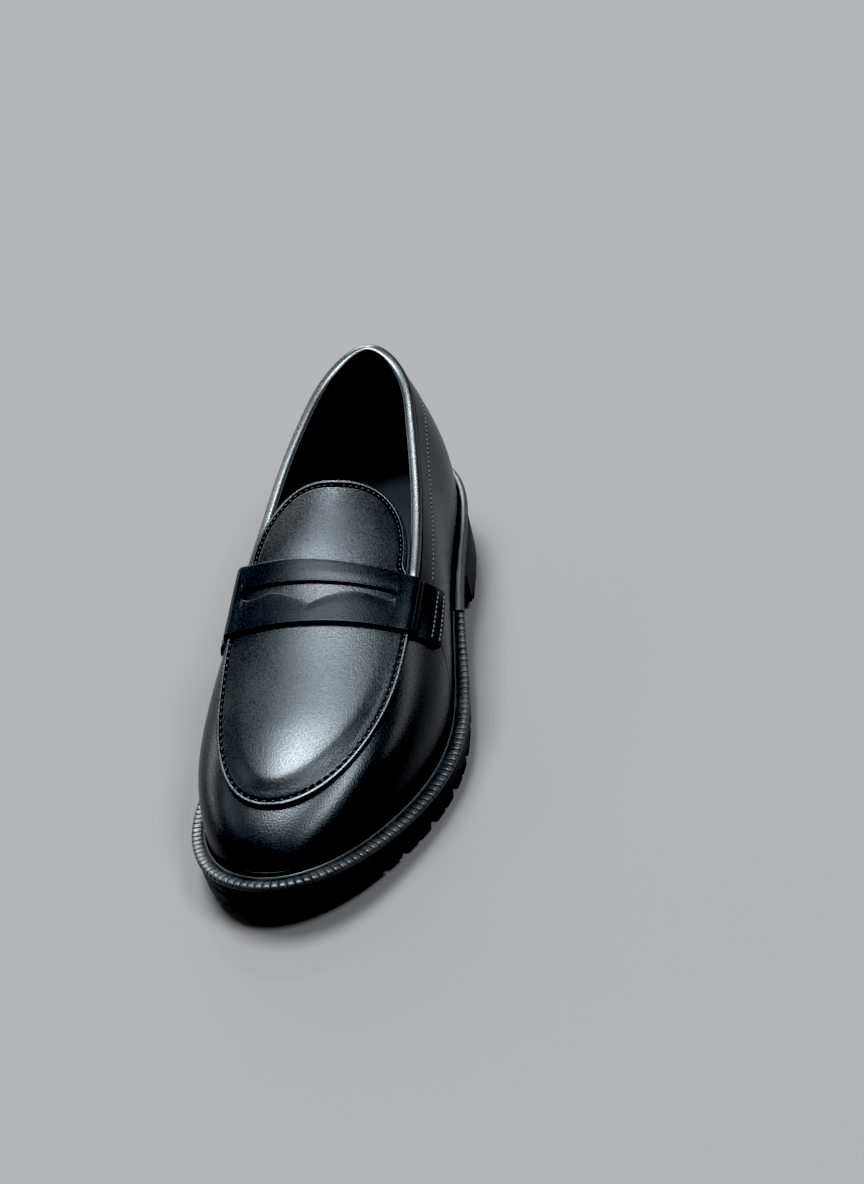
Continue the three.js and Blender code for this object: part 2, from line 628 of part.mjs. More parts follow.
const PIECES = {
  outsole: [outsole(), BLACK_RUBBER],
  heel_block: [heelBlock(), BLACK_RUBBER],
  midsole: [midsole(), BLACK_RUBBER],
  welt: [welt(), BLACK_RUBBER],
  heel_rand: [heelRand(), BLACK_RUBBER],
  cork_filler: [filler(range(CORK_START, TOE, 16)), CORK],
  heel_filler: [filler(range(0, FOAM_END, 10)), FOAM],
  shank: [shank(), SPRING_STEEL],
  insole_board: [insoleBoard(), FIBRE_BOARD],
  sock_liner: [sockLiner(), BLACK_LINING],
  vamp: [vamp(), BLACK_LEATHER],
  quarter_outer: [quarter(1), BLACK_LEATHER],
  quarter_inner: [quarter(-1), BLACK_LEATHER],
  back_strip: [backStrip(), BLACK_LEATHER],
  heel_counter: [heelCounter(), FIBRE_BOARD],
  toe_puff: [toePuff(), FIBRE_BOARD],
  vamp_lining: [vampLining(), BLACK_LINING],
  quarter_lining: [quarterLining(), BLACK_LINING],
  apron: [apron(), BLACK_LEATHER],
  apron_lining: [apronLining(), BLACK_LINING],
  strap: [strap(), BLACK_LEATHER],
  topline_binding: [toplineBinding(), BLACK_LEATHER],
  apron_stitch: [apronStitch(), BLACK_THREAD],
  tongue_stitch: [tongueStitch(), BLACK_THREAD],
  collar_stitch_outer: [collarStitch(1), BLACK_THREAD],
  collar_stitch_inner: [collarStitch(-1), BLACK_THREAD],
  strap_stitch_outer_end: [strapStitch(0.02), BLACK_THREAD],
  strap_stitch_outer_row: [strapStitch(0.06), BLACK_THREAD],
  strap_stitch_inner_row: [strapStitch(0.94), BLACK_THREAD],
  strap_stitch_inner_end: [strapStitch(0.98), BLACK_THREAD],
};

const group = new THREE.Group();
for (const [name, [shape, material]] of Object.entries(PIECES)) {
  const geometry = shape instanceof THREE.BufferGeometry ? shape : toGeometry(shape);
  const mesh = new THREE.Mesh(geometry, new THREE.MeshStandardMaterial(material));
  mesh.name = name;
  group.add(mesh);
}

// The origin is the middle of the bounding box's base.
const box = new THREE.Box3().setFromObject(group);
const centre = box.getCenter(new THREE.Vector3());
group.children.forEach((mesh) => mesh.geometry.translate(-centre.x, -centre.y, -box.min.z));

export default group;
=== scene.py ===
"""A lug-soled penny loafer for the left foot: its leather, thread and rubber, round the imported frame.

The shoe's own layout is in millimetres: X = 0 at the back of the heel, +X to the toe, +Y to the outer side
and Z = 0 on the floor. A piece is laid out there and moved into the frame, in metres, when its mesh is made.
"""
import math

import bmesh
import bpy
import numpy as np
from mathutils import Matrix, Vector


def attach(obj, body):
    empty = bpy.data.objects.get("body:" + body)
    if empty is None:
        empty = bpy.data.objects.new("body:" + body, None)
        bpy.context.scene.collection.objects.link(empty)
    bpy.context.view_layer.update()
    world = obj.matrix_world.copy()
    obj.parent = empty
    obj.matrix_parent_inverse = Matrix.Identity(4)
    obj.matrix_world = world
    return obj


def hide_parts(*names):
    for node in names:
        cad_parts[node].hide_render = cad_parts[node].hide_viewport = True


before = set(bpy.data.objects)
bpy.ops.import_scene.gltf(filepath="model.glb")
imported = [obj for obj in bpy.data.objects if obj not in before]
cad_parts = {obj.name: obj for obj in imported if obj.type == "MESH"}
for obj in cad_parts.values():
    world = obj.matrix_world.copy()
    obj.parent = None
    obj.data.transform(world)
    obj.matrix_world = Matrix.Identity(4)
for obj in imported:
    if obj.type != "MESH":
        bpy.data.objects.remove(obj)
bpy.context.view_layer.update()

# ---- The shoe's driving sizes, as in its CAD model ----
MM = 0.001
LAYOUT_ORIGIN = np.array([148.1, 1.3, 0.0])  # the frame's origin in the shoe's layout
GAP = 0.3
LUG_DEPTH = 5.0
TREAD_BASE = 3.0
MIDSOLE = 5.0
UPPER = 1.6
INSOLE = 2.5
SOCK = 1.5
LINING = 1.0
APRON = 1.8
OVERHANG = 1.0
STRAP = 1.7
WELT_AT_HEEL = 4.5
WELT_AT_BALL = 7.5
HEEL_LIFT = 18.0
SEAT_X = 45.0
BALL_X = 160.0
TOE_X = 210.0
TOE_SPRING = 11.0
TOE_SPRING_CURVE = 1.7
SOLE_LENGTH = 297.0
Z_BASE = LUG_DEPTH
Z_MIDSOLE = Z_BASE + TREAD_BASE + GAP
Z_WELT = Z_MIDSOLE + MIDSOLE + GAP
Z_SOCK = Z_WELT + UPPER + INSOLE + 2 * GAP
DEPTH_LINING = 3.3
DEPTH_INSIDE = DEPTH_LINING + LINING

# Stations round the shoe, from the back of the heel by the outer side to the toe and back by the inner side:
# the sole's edge, the upper's top edge, the wall's lean there in degrees, and the apron's crown.
STATIONS = [
    ((0, 0), (6, 0, 98), 74, 12),
    ((12.5, 26.5), (20.5, 17.5, 92), 70, 12),
    ((45, 39.5), (49.5, 26, 87), 68, 12),
    ((84, 43), (82, 32.5, 83), 70, 12),
    ((119, 47.5), (115, 38, 79.5), 68, 10.5),
    ((155, 54), (148, 41, 75), 62, 8),
    ((190, 57), (179.2, 40.9, 69.4), 52, 6.2),
    ((223, 51.5), (209.9, 38.7, 62.9), 44, 5.5),
    ((256, 38), (238, 30.1, 56.7), 36, 4.8),
    ((283.5, 19), (258.9, 14.7, 51.2), 31, 3.2),
    ((296.5, -6), (268.2, -5, 48.8), 29, 0),
    ((288.5, -31), (261.4, -23.8, 50.7), 31, 3.2),
    ((267.5, -46.5), (239, -33.9, 57.2), 36, 4.8),
    ((238.5, -54), (210.9, -37.3, 63.4), 44, 5.5),
    ((200, -52.5), (181.2, -37.6, 70.4), 52, 6.2),
    ((160, -42), (150, -36, 76.5), 62, 8),
    ((120, -35), (117, -33.5, 80.5), 70, 10.5),
    ((80, -35.5), (80, -31.5, 83.5), 76, 12),
    ((42, -37.5), (47, -27, 87.5), 74, 12),
    ((12, -26), (19.5, -18.5, 93), 70, 12),
]
AROUND = len(STATIONS)
TOE = AROUND / 2
FEATHER_LEAN = 83.0
WALL_HANDLE = 0.4
TOE_TURN = 0.35  # how much sooner the wall turns down below the apron's edge at the toe
TONGUE_TOP = 3.6
TONGUE_BEND = 4.9
TONGUE_OUTER = 0.87
TONGUE_INNER = 0.94
TONGUE_LIFT = 3.4
TONGUE_ROUND = 2.9
STRAP_CROWN = 0.7  # how much higher the instep's crown is under the strap
BINDING_END = 4.92
VAMP_START = 5.55
RAND_END = 3.7
HEEL_END = 2.82


# ---- Curves and surfaces that every piece follows ----
def smooth(low, high, x):
    t = np.clip((np.asarray(x, float) - low) / (high - low), 0, 1)
    return t * t * (3 - 2 * t)


def bump(x, centre, width):
    return np.exp(-(((x - centre) / width) ** 2))


def ring_of_angles(count):
    return np.linspace(0, 2 * math.pi, count + 1)[:-1]


def closed_curve(points):
    """A closed cubic through points whose curvature runs on smoothly."""
    p = np.array(points, float)
    n = len(p)
    balance = 4 * np.eye(n) + np.roll(np.eye(n), 1, axis=1) + np.roll(np.eye(n), -1, axis=1)
    slopes = np.linalg.solve(balance, 3 * (np.roll(p, -1, axis=0) - np.roll(p, 1, axis=0)))
    return p, slopes


SOLE = closed_curve([(*sole, 0) for sole, _, _, _ in STATIONS])
TOP = closed_curve([top for _, top, _, _ in STATIONS])
SHAPE = closed_curve([(lean, crown, 0) for _, _, lean, crown in STATIONS])


def at(curve, u):
    """Points of a closed curve at stations u, an array of any shape."""
    points, slopes = curve
    u = np.asarray(u, float) % AROUND
    i = np.floor(u).astype(int) % AROUND
    j = (i + 1) % AROUND
    t = (u - np.floor(u))[..., None]
    start = (1 + 2 * t) * (1 - t) ** 2 * points[i] + t * (1 - t) ** 2 * slopes[i]
    return start + t * t * (3 - 2 * t) * points[j] - t * t * (1 - t) * slopes[j]


def unit(v):
    return v / np.maximum(np.linalg.norm(v, axis=-1, keepdims=True), 1e-12)


def outward(curve, u):
    along = at(curve, np.asarray(u) + 0.02) - at(curve, np.asarray(u) - 0.02)
    return unit(np.stack([-along[..., 1], along[..., 0], np.zeros(along.shape[:-1])], axis=-1))


def rise(x):
    """How far the tread plane stands off the floor: the heel's height behind, the toe's spring in front."""
    heel = HEEL_LIFT * (1 - smooth(SEAT_X, BALL_X, x))
    past_ball = np.maximum(x - TOE_X, 0) / (SOLE_LENGTH - TOE_X)
    return heel + TOE_SPRING * past_ball**TOE_SPRING_CURVE


def edge(u, inset, height):
    """The sole's edge at stations u, moved inwards, at a height above the tread plane."""
    u, inset, height = np.broadcast_arrays(u, inset, height)
    p = at(SOLE, u) - outward(SOLE, u) * inset[..., None]
    p[..., 2] = height + rise(p[..., 0])
    return p


def welt_width(u):
    return WELT_AT_HEEL + (WELT_AT_BALL - WELT_AT_HEEL) * smooth(60, BALL_X, at(SOLE, u)[..., 0])


def from_heel(u):
    """Stations counted from the back of the heel along either side."""
    u = np.asarray(u, float) % AROUND
    return np.minimum(u, AROUND - u)


def wall(u, v):
    """The upper's outer face: v = 0 on the midsole, v = 1 at the top edge."""
    u, v = np.broadcast_arrays(np.asarray(u, float), np.asarray(v, float))
    foot = edge(u, welt_width(u), Z_WELT)
    top = at(TOP, u)
    top[..., 2] -= (APRON + GAP) * smooth(BINDING_END, VAMP_START, from_heel(u))
    out = outward(SOLE, u)
    lean = np.radians(at(SHAPE, u)[..., 0])[..., None]
    feather = math.radians(FEATHER_LEAN)
    handle = np.linalg.norm(top - foot, axis=-1, keepdims=True) * WALL_HANDLE
    turn_in = (1 - TOE_TURN * smooth(7, 9.5, from_heel(u)))[..., None]
    up = np.array([0, 0, 1.0])
    low = foot + handle * (math.cos(feather) * out + math.sin(feather) * up)
    high = top + handle * turn_in * (np.cos(lean) * out - np.sin(lean) * up)
    t = v[..., None]
    s = 1 - t
    return s**3 * foot + 3 * s * s * t * low + 3 * s * t * t * high + t**3 * top


def wall_normal(u, v):
    up = wall(u, np.minimum(np.asarray(v) + 0.01, 1)) - wall(u, np.maximum(np.asarray(v) - 0.01, 0))
    along = wall(np.asarray(u) + 0.01, v) - wall(np.asarray(u) - 0.01, v)
    return unit(np.cross(up, along))


def layer(u, v, depth):
    """The wall moved inwards along its normal."""
    u, v, depth = np.broadcast_arrays(u, v, depth)
    return wall(u, v) - wall_normal(u, v) * depth[..., None]


def crown(u, r, lift=0.0):
    """The apron's top face between opposite stations: r = 1 on the outer edge and -1 on the inner one."""
    u, r, lift = np.broadcast_arrays(np.asarray(u, float), r, lift)
    outer = at(TOP, u)
    inner = at(TOP, AROUND - u)
    p = inner + (outer - inner) * ((1 + r) / 2)[..., None]
    by_binding = 1 - smooth(BINDING_END - 0.45, VAMP_START + 0.2, u)
    over_binding = TONGUE_LIFT * smooth(0.4, -TONGUE_INNER, r) * by_binding
    p[..., 2] += at(SHAPE, u)[..., 1] * (1 - r * r) + over_binding + lift
    return p


def crown_under(xy):
    """The height of the apron's smooth top face at plan positions."""
    back = np.full(xy.shape[:-1], TONGUE_TOP - 0.6)
    front = np.full(xy.shape[:-1], TOE)
    for _ in range(22):
        u = (back + front) / 2
        outer = at(TOP, u)
        inner = at(TOP, AROUND - u)
        width = np.maximum(outer[..., 1] - inner[..., 1], 1e-6)
        across = np.clip((xy[..., 1] - inner[..., 1]) / width, 0, 1)
        behind = inner[..., 0] + across * (outer[..., 0] - inner[..., 0]) < xy[..., 0]
        back = np.where(behind, u, back)
        front = np.where(behind, front, u)
    r = 2 * across - 1
    under_strap = smooth(5.05, 5.4, back) * (1 - smooth(5.75, 6.1, back))
    return crown(back, r)[..., 2] + STRAP_CROWN * (1 - r * r) * under_strap


def running_length(points):
    steps = np.linalg.norm(np.diff(points, axis=0), axis=1)
    return np.concatenate([[0], np.cumsum(steps)])


def read_off(points, run, stops):
    """Points of a path at stops along its running length."""
    return np.stack([np.interp(stops, run, column) for column in points.T], axis=1)


def even(points, spacing):
    """Points along a path at an even spacing."""
    run = running_length(points)
    stops = np.linspace(0, run[-1], max(2, int(round(run[-1] / spacing)) + 1))
    return read_off(points, run, stops)


# ---- Meshes ----
def add_object(name, data):
    item = bpy.data.objects.new(name, data)
    bpy.context.collection.objects.link(item)
    return item


def add_mesh(name, points, faces, smooth_angle=40.0):
    """A new piece from layout points in millimetres."""
    mesh = bpy.data.meshes.new(name)
    flat = (np.asarray(points, float).reshape(-1, 3) - LAYOUT_ORIGIN) * MM
    mesh.from_pydata(flat.tolist(), [], faces)
    mesh.validate()
    mesh.shade_smooth()
    mesh.set_sharp_from_angle(angle=math.radians(smooth_angle))
    return add_object(name, mesh)


def grid_faces(rows, columns, wrap_columns=False, start=0):
    """Quads between the points of a grid laid out row by row."""
    i = np.arange(rows - 1)
    j = np.arange(columns if wrap_columns else columns - 1)
    i, j = np.meshgrid(i, j, indexing="ij")
    here = i * columns
    down = here + columns
    right = (j + 1) % columns
    quads = np.stack([here + j, here + right, down + right, down + j], axis=-1)
    return (quads.reshape(-1, 4) + start).tolist()


def end_faces(count, rows, start=0):
    """The faces that close a stack of rings, as grids lay them out, at both ends."""
    last = start + (rows - 1) * count
    return [list(range(start, start + count))[::-1], list(range(last, last + count))]


def face_out(piece):
    """Turns a closed piece's faces outwards."""
    work = bmesh.new()
    work.from_mesh(piece.data)
    bmesh.ops.recalc_face_normals(work, faces=work.faces)
    work.to_mesh(piece.data)
    work.free()
    return piece


def weld(piece, distance):
    """Joins the points that meet, and drops the faces that shrink to nothing."""
    work = bmesh.new()
    work.from_mesh(piece.data)
    bmesh.ops.remove_doubles(work, verts=work.verts, dist=distance)
    bmesh.ops.dissolve_degenerate(work, edges=work.edges, dist=1e-7)
    work.to_mesh(piece.data)
    work.free()


def closed_mesh(name, points, faces, weld_distance=2e-6):
    """A new closed piece, with the points that meet joined and the faces turned outwards."""
    piece = add_mesh(name, points, faces)
    weld(piece, weld_distance)
    return face_out(piece)


def closed_rows(name, rows):
    """A closed piece from rings of points whose two end rings fold shut on a line."""
    rows = np.array(rows)
    return closed_mesh(name, rows, grid_faces(len(rows), rows.shape[1], wrap_columns=True))


def loft(name, sections, smooth_angle=40.0):
    """Closed sections joined in order, an array of sections, points and axes, with both ends capped."""
    count, size = sections.shape[:2]
    faces = grid_faces(count, size, wrap_columns=True) + end_faces(size, count)
    return face_out(add_mesh(name, sections, faces, smooth_angle))


def slab(name, rows):
    """A flat piece from rings of points round it, with strips across the first and the last ring."""
    rows = np.array(rows)
    count = rows.shape[1]
    faces = grid_faces(len(rows), count, wrap_columns=True)
    for row in (0, len(rows) - 1):
        for i in range(count // 2):
            a, b = row * count + i, row * count + i + 1
            c, d = row * count + (count - i - 1) % count, row * count + (count - i) % count
            faces.append([a, b, c, d])
    return closed_mesh(name, rows, faces)


# ---- Thread ----
STITCH_TAPER = 0.35
STITCH_FLATNESS = 0.8
STITCH_STAND = 0.7  # how far a stitch's middle line stands off the leather, as a share of its radius
LONG_STITCH = {"pitch": 3.8, "length": 2.4}
COLLAR_STITCH = {"pitch": 3.0, "length": 2.2}
FINE_STITCH = {"pitch": 2.8, "length": 2.1}


def stitches(name, path, normals, pitch, length, radius=0.42, sink=0.35):
    """A row of separate stitches: each is a short thread that dives into the leather at both ends."""
    run = running_length(path)
    count = int(run[-1] // pitch)
    first = (run[-1] - count * pitch) / 2
    t = np.linspace(-1, 1, 9)
    a = ring_of_angles(8)
    girth = radius * (1 - STITCH_TAPER * t**4)
    dive = radius * STITCH_STAND - sink * t[:, None] ** 4 * 2
    points = []
    faces = []
    for k in range(count):
        stops = first + (k + 0.5) * pitch + t * length / 2
        middle = read_off(path, run, stops)
        normal = unit(read_off(normals, run, stops))
        side = np.cross(unit(np.gradient(middle, axis=0)), normal)
        across = np.cos(a)[None, :, None] * side[:, None]
        out = np.sin(a)[None, :, None] * normal[:, None] * STITCH_FLATNESS
        start = len(points) * len(a)
        points.extend((middle + normal * dive)[:, None] + girth[:, None, None] * (across + out))
        faces.extend(grid_faces(len(t), len(a), wrap_columns=True, start=start))
        faces.extend(end_faces(len(a), len(t), start))
    return add_mesh(name, np.array(points), faces, 60)


# ---- The apron and tongue ----
APRON_SEAM = 2.2  # how far in from the edge the stitches run, here and on the tongue
TONGUE_SEAM = 2.7
APRON_SPACING = 0.5
SPINE_BACK = 5.2  # the spine keeps to the stations between these two, and slows to a stop beyond them
SPINE_FRONT = 7.4
RIM_HEIGHT = (0.55, 0.8)  # on the apron and on the tongue, and so are the next two
GROOVE_DEPTH = (0.45, 1.0)
GROOVE_WIDTH = (0.45, 0.65)
HOLE_DEPTH = 0.9
ISLAND_HEIGHT = 0.8
FINE_BAND = 6.2  # the width along the edge where the mesh is finest
LINING_INSET = 2.6


def apron_outline():
    """Half the apron's outline, from the toe to the tongue's top: its stations and its width shares."""
    side = np.linspace(TOE, TONGUE_BEND, 500)
    a = np.linspace(0, math.pi / 2, 300)[1:]
    top = TONGUE_BEND - (TONGUE_BEND - TONGUE_TOP) * np.sin(a) ** (2 / TONGUE_ROUND)
    top_share = np.maximum(np.cos(a), 0) ** (2 / TONGUE_ROUND)
    m = np.concatenate([side, top])
    share = np.concatenate([np.ones(len(side)), top_share])
    path = np.concatenate([crown(m, share * 0.9), m[:, None], share[:, None]], axis=1)
    spaced = even(path, APRON_SPACING)
    return spaced[:, 3], spaced[:, 4]


def eased(m, start, end, reach):
    """Stations from start to end, slowed down so that they end a reach past the start."""
    return start + reach * (1 - (1 - (m - start) / (end - start)) ** 2)


def apron_edges():
    """The outline's plan points, the spine point that each one faces, their stations and running lengths."""
    m, share = apron_outline()
    spine_m = np.where(m > SPINE_FRONT, eased(m, SPINE_FRONT, TOE, 1.0), m)
    spine_m = np.where(m < SPINE_BACK, eased(m, SPINE_BACK, TONGUE_TOP, -0.6), spine_m)
    spine = crown(spine_m, 0)[:, :2]
    onto_vamp = smooth(TONGUE_BEND, 5.4, m)
    reach = OVERHANG * onto_vamp[:, None]
    outer_r = share * (TONGUE_OUTER + (1 - TONGUE_OUTER) * onto_vamp)
    inner_r = share * (TONGUE_INNER + (1 - TONGUE_INNER) * onto_vamp)
    outer = crown(m, outer_r)[:, :2] + outward(TOP, m)[:, :2] * reach
    inner = crown(m, -inner_r)[:, :2] + outward(TOP, AROUND - m)[:, :2] * reach
    run = running_length(outer)
    edges = np.concatenate([outer, inner[::-1][1:-1]])
    spines = np.concatenate([spine, spine[::-1][1:-1]])
    stations = np.concatenate([m, m[::-1][1:-1]])
    runs = np.concatenate([run, -run[::-1][1:-1]])
    return edges, spines, stations, runs


APRON_EDGES = apron_edges()
APRON_SPAN = np.linalg.norm(APRON_EDGES[1] - APRON_EDGES[0], axis=1)


def between(pair, share):
    return pair[0] + (pair[1] - pair[0]) * share


def apron_relief(inset, station, run):
    """How far the apron's face stands off its smooth crown: rim, sewn groove, needle holes and island."""
    tongue = 1 - smooth(4.9, 5.2, station)
    groove_at = between((APRON_SEAM, TONGUE_SEAM), tongue)
    rim_end = 1 - smooth(0.5 * groove_at, groove_at, inset)
    rim = between(RIM_HEIGHT, tongue) * smooth(-0.3, 0.6, inset) * rim_end
    groove = -between(GROOVE_DEPTH, tongue) * bump(inset, groove_at, between(GROOVE_WIDTH, tongue))
    pitch = LONG_STITCH["pitch"]
    beat = np.abs((np.abs(run) / pitch) % 1 - 0.5) * pitch
    holes = -HOLE_DEPTH * bump(inset, groove_at + 0.15, 0.5) * bump(beat, 0, 0.8)
    toward_toe = smooth(6.2, 8.2, station)
    island = between((0.1, 1), toward_toe) * ISLAND_HEIGHT * smooth(5.0, 11.5, inset) * (1 - tongue)
    return rim + groove + holes + island


def apron_face(inset, lift=0.0, relief=True, columns=slice(None)):
    """Points of the apron at an inset from its edge and a lift off its face, for chosen columns round it."""
    edges, spines, stations, runs = (a[columns] for a in APRON_EDGES)
    span = APRON_SPAN[columns]
    inset = np.broadcast_to(inset, span.shape)
    xy = edges + (spines - edges) * (inset / span)[:, None]
    z = crown_under(xy) + lift
    if relief:
        z = z + apron_relief(inset, stations, runs)
    return np.concatenate([xy, z[:, None]], axis=1)


def build_apron():
    span = APRON_SPAN
    under = [apron_face(span * k, -APRON, False) for k in (1, 0.8, 0.5)]
    under += [apron_face(k, -APRON, False) for k in (3.0, 0.9)]
    rim = [(0.35, -APRON + 0.06), (0.06, -1.45), (0.0, -0.9), (0.03, -0.4), (0.16, 0.02)]
    turned = [apron_face(inset, lift, False) for inset, lift in rim]
    near_insets = np.concatenate([[0.42], np.arange(0.65, FINE_BAND, 0.22)])
    near = [apron_face(inset) for inset in near_insets]
    far = [apron_face(FINE_BAND + (span - FINE_BAND) * k) for k in np.linspace(0.05, 1, 20)]
    return closed_rows("apron_leather", under + turned + near + far)


def groove_stitches(name, inset, low, high, stitch):
    """Stitches along the apron's groove, between two stations on each side."""
    stations, runs = APRON_EDGES[2:]
    chosen = np.flatnonzero((stations >= low) & (stations <= high))
    order = chosen[np.argsort(runs[chosen])]
    path = apron_face(inset, -0.3, False, order)
    inner = apron_face(inset + 0.8, -0.3, False, order)
    normals = unit(np.cross(np.gradient(path, axis=0), inner - path))
    normals *= np.sign(normals[:, 2:])
    return stitches(name, path, normals, **stitch, sink=0.55)


def build_apron_lining():
    columns = slice(None, None, 3)
    span = APRON_SPAN[columns]
    top = -APRON - GAP
    insets = [span * k for k in (1, 0.7, 0.4, 0.2)]
    upper = [apron_face(inset, top, False, columns) for inset in insets]
    lower = [apron_face(inset, top - LINING, False, columns) for inset in insets[::-1]]
    rim = [apron_face(LINING_INSET, lift, False, columns) for lift in (top, top - LINING)]
    return closed_rows("apron_lining_leather", upper + rim + lower)


# ---- The wall of the upper ----
COLLAR_SHARE = 0.79
COLLAR_RISE = 0.05
QUARTER_TOP = 0.975
QUARTER_HEIGHT = 75.0  # about the wall's length from foot to top, by which the collar's groove is sized
STRIP_HALF = 0.24
BINDING_HALF_WIDTH = 2.5
BINDING_HALF_HEIGHT = 2.1


def collar_share(u):
    """How far up the wall the collar's seam runs."""
    return COLLAR_SHARE + COLLAR_RISE * smooth(0, 2, from_heel(u))


def wall_rows(top):
    """Wall shares from the foot to the top edge, closer together near both."""
    foot = np.linspace(0, 0.2, 10)[:-1]
    return np.concatenate([foot, np.linspace(0.2, 0.9, 34)[:-1], np.linspace(0.9, top, 8)])


def build_vamp():
    us = np.linspace(VAMP_START, AROUND - VAMP_START, 420)
    vs = wall_rows(1.0)
    outer = layer(us[:, None], vs, 0.0)
    round_over = layer(us[:, None], 1.0, [0.3, 0.8, 1.4])
    round_over[:, 1] += (round_over[:, 1] - layer(us, 0.985, 0.8)) * 0.3
    inner = layer(us[:, None], [0.97, 0.7, 0.4, 0.15, 0.02], UPPER)
    return loft("vamp_leather", np.concatenate([outer, round_over, inner], axis=1))


def build_quarter(name, side):
    """One quarter, from the heel seam to under the strap, with its collar's sewn groove."""
    us = np.linspace(0.012, VAMP_START - 0.03, 300) * side
    line = collar_share(us)[:, None]
    low = line * np.linspace(0, 1, 40)[None, :-1] * (1 - 2.2 / QUARTER_HEIGHT)
    groove = line + np.linspace(-2, 2, 17)[None, :] / QUARTER_HEIGHT
    above = line + 2.4 / QUARTER_HEIGHT
    high = above + (QUARTER_TOP - above) * np.linspace(0, 1, 10)[None, :]
    vs = np.concatenate([low, groove, high], axis=1)
    off = (vs - line) * QUARTER_HEIGHT
    depth = 0.4 * bump(off, 0, 0.6) - 0.12 * smooth(0, 1.2, off)
    outer = layer(us[:, None], vs, depth)
    inner = layer(us[:, None], [QUARTER_TOP, 0.7, 0.4, 0.15, 0.02], UPPER)
    return loft(name, np.concatenate([outer, inner], axis=1))


def build_back_strip():
    """The strip over the heel seam, its edges rounded off."""
    us = np.linspace(-STRIP_HALF, STRIP_HALF, 25)
    vs = np.linspace(0.075, 0.985, 70)
    thick = 1.3 * np.sqrt(np.clip(1 - (np.abs(us) / STRIP_HALF) ** 10, 0, 1))
    outer = layer(us[None, :], vs[:, None], -(0.02 + thick)[None, :])
    inner = layer(us[::-1][None, :], vs[:, None], np.full((1, len(us)), 0.05))
    return loft("back_strip_leather", np.concatenate([outer, inner], axis=1))


def build_quarter_lining():
    """The lining as a thin shell that stands inside the wall."""
    us = np.linspace(-5.5, 5.5, 260)
    vs = np.linspace(0.05, 0.95, 24)
    face = layer(us[:, None], vs, DEPTH_INSIDE)
    back = layer(us[:, None], vs[::-1], DEPTH_LINING)
    return loft("quarter_lining_leather", np.concatenate([face, back], axis=1))


def build_binding():
    """The rolled binding round the opening: a fat roll with a flattened top."""
    us = np.linspace(-BINDING_END - 0.2, BINDING_END + 0.2, 420)
    middle = layer(us, 1.0, DEPTH_INSIDE / 2)
    out = outward(TOP, us)
    a = ring_of_angles(32)
    c, s = np.cos(a), np.sin(a)
    squareness = np.where(s > 0, 2.9, 2.0)
    across = BINDING_HALF_WIDTH * np.sign(c) * np.abs(c) ** (2 / squareness)
    up = BINDING_HALF_HEIGHT * np.sign(s) * np.abs(s) ** (2 / squareness) + 0.1
    sections = middle[:, None] + out[:, None] * across[None, :, None]
    sections[..., 2] += up[None, :]
    return loft("topline_binding_leather", sections)


def collar_stitches(name, side):
    us = np.linspace(0.4, strap_station(0, side, COLLAR_SHARE) - 0.05, 600) * side
    path = layer(us, collar_share(us), 0.2)
    return stitches(name, path, wall_normal(us, collar_share(us)), **COLLAR_STITCH, radius=0.36)


# ---- The strap ----
STRAP_END = 0.70  # how far up the wall the strap's ends are sewn
STRAP_SLANT = 1.35  # how far the strap leans back down the wall, in stations per wall share
STRAP_FLARE = 0.2  # how much less its front edge leans
STRAP_REAR = (5.0, 0.14)  # the station of each edge at the spine, and how far it turns towards the outer side
STRAP_FRONT = (6.05, 0.05)
STRAP_WIDTH = 31.0
STRAP_ROWS = 19  # of points behind the slot
STRAP_STATIONS = 401
STRAP_STITCHES = {"outer_end": 0.014, "outer_row": 0.058, "inner_row": 0.942, "inner_end": 0.986}


def strap_station(t, r, v=1.0):
    """The station of the strap's width share t, at a share r across the crown or a share v up the wall."""
    rear = STRAP_REAR[0] + STRAP_REAR[1] * r - (1 - v) * STRAP_SLANT
    front = STRAP_FRONT[0] + STRAP_FRONT[1] * r - (1 - v) * (STRAP_SLANT - STRAP_FLARE)
    return rear + (front - rear) * t


def eased_path(path, steps):
    """A path with its corners eased out, in even steps."""
    ahead = path[:1] + (path[:1] - path[1:2]) * np.arange(9, 0, -1)[:, None]
    behind = path[-1:] + (path[-1:] - path[-2:-1]) * np.arange(1, 10)[:, None]
    padded = np.concatenate([ahead, path, behind])
    weights = np.exp(-((np.arange(-9, 10) * 0.4 / 1.6) ** 2))
    weights /= weights.sum()
    soft = np.stack([np.convolve(column, weights, mode="valid") for column in padded.T], axis=1)
    run = running_length(soft)
    return read_off(soft, run / run[-1], np.linspace(0, 1, steps))


def strap_paths(shares, lift):
    """The strap's course over the shoe at each width share, from its outer to its inner end."""
    r = np.linspace(1, -1, 121)
    v = np.linspace(STRAP_END, 0.97, 50)
    paths = []
    for t in shares:
        outer = layer(strap_station(t, 1, v), v, -lift)
        inner = layer(AROUND - strap_station(t, -1, v[::-1]), v[::-1], -lift)
        u = strap_station(t, r)
        middle = crown(u, r, lift)
        out = outward(TOP, np.where(r > 0, u, AROUND - u))
        middle += out * ((OVERHANG + lift) * r**6)[:, None]
        middle[:, 2] += 0.55 * bump(np.abs(r), 1.0, 0.08) + STRAP_CROWN * (1 - r * r)
        path = even(np.concatenate([outer, middle, inner]), 0.4)
        paths.append(eased_path(path, STRAP_STATIONS))
    return np.array(paths)


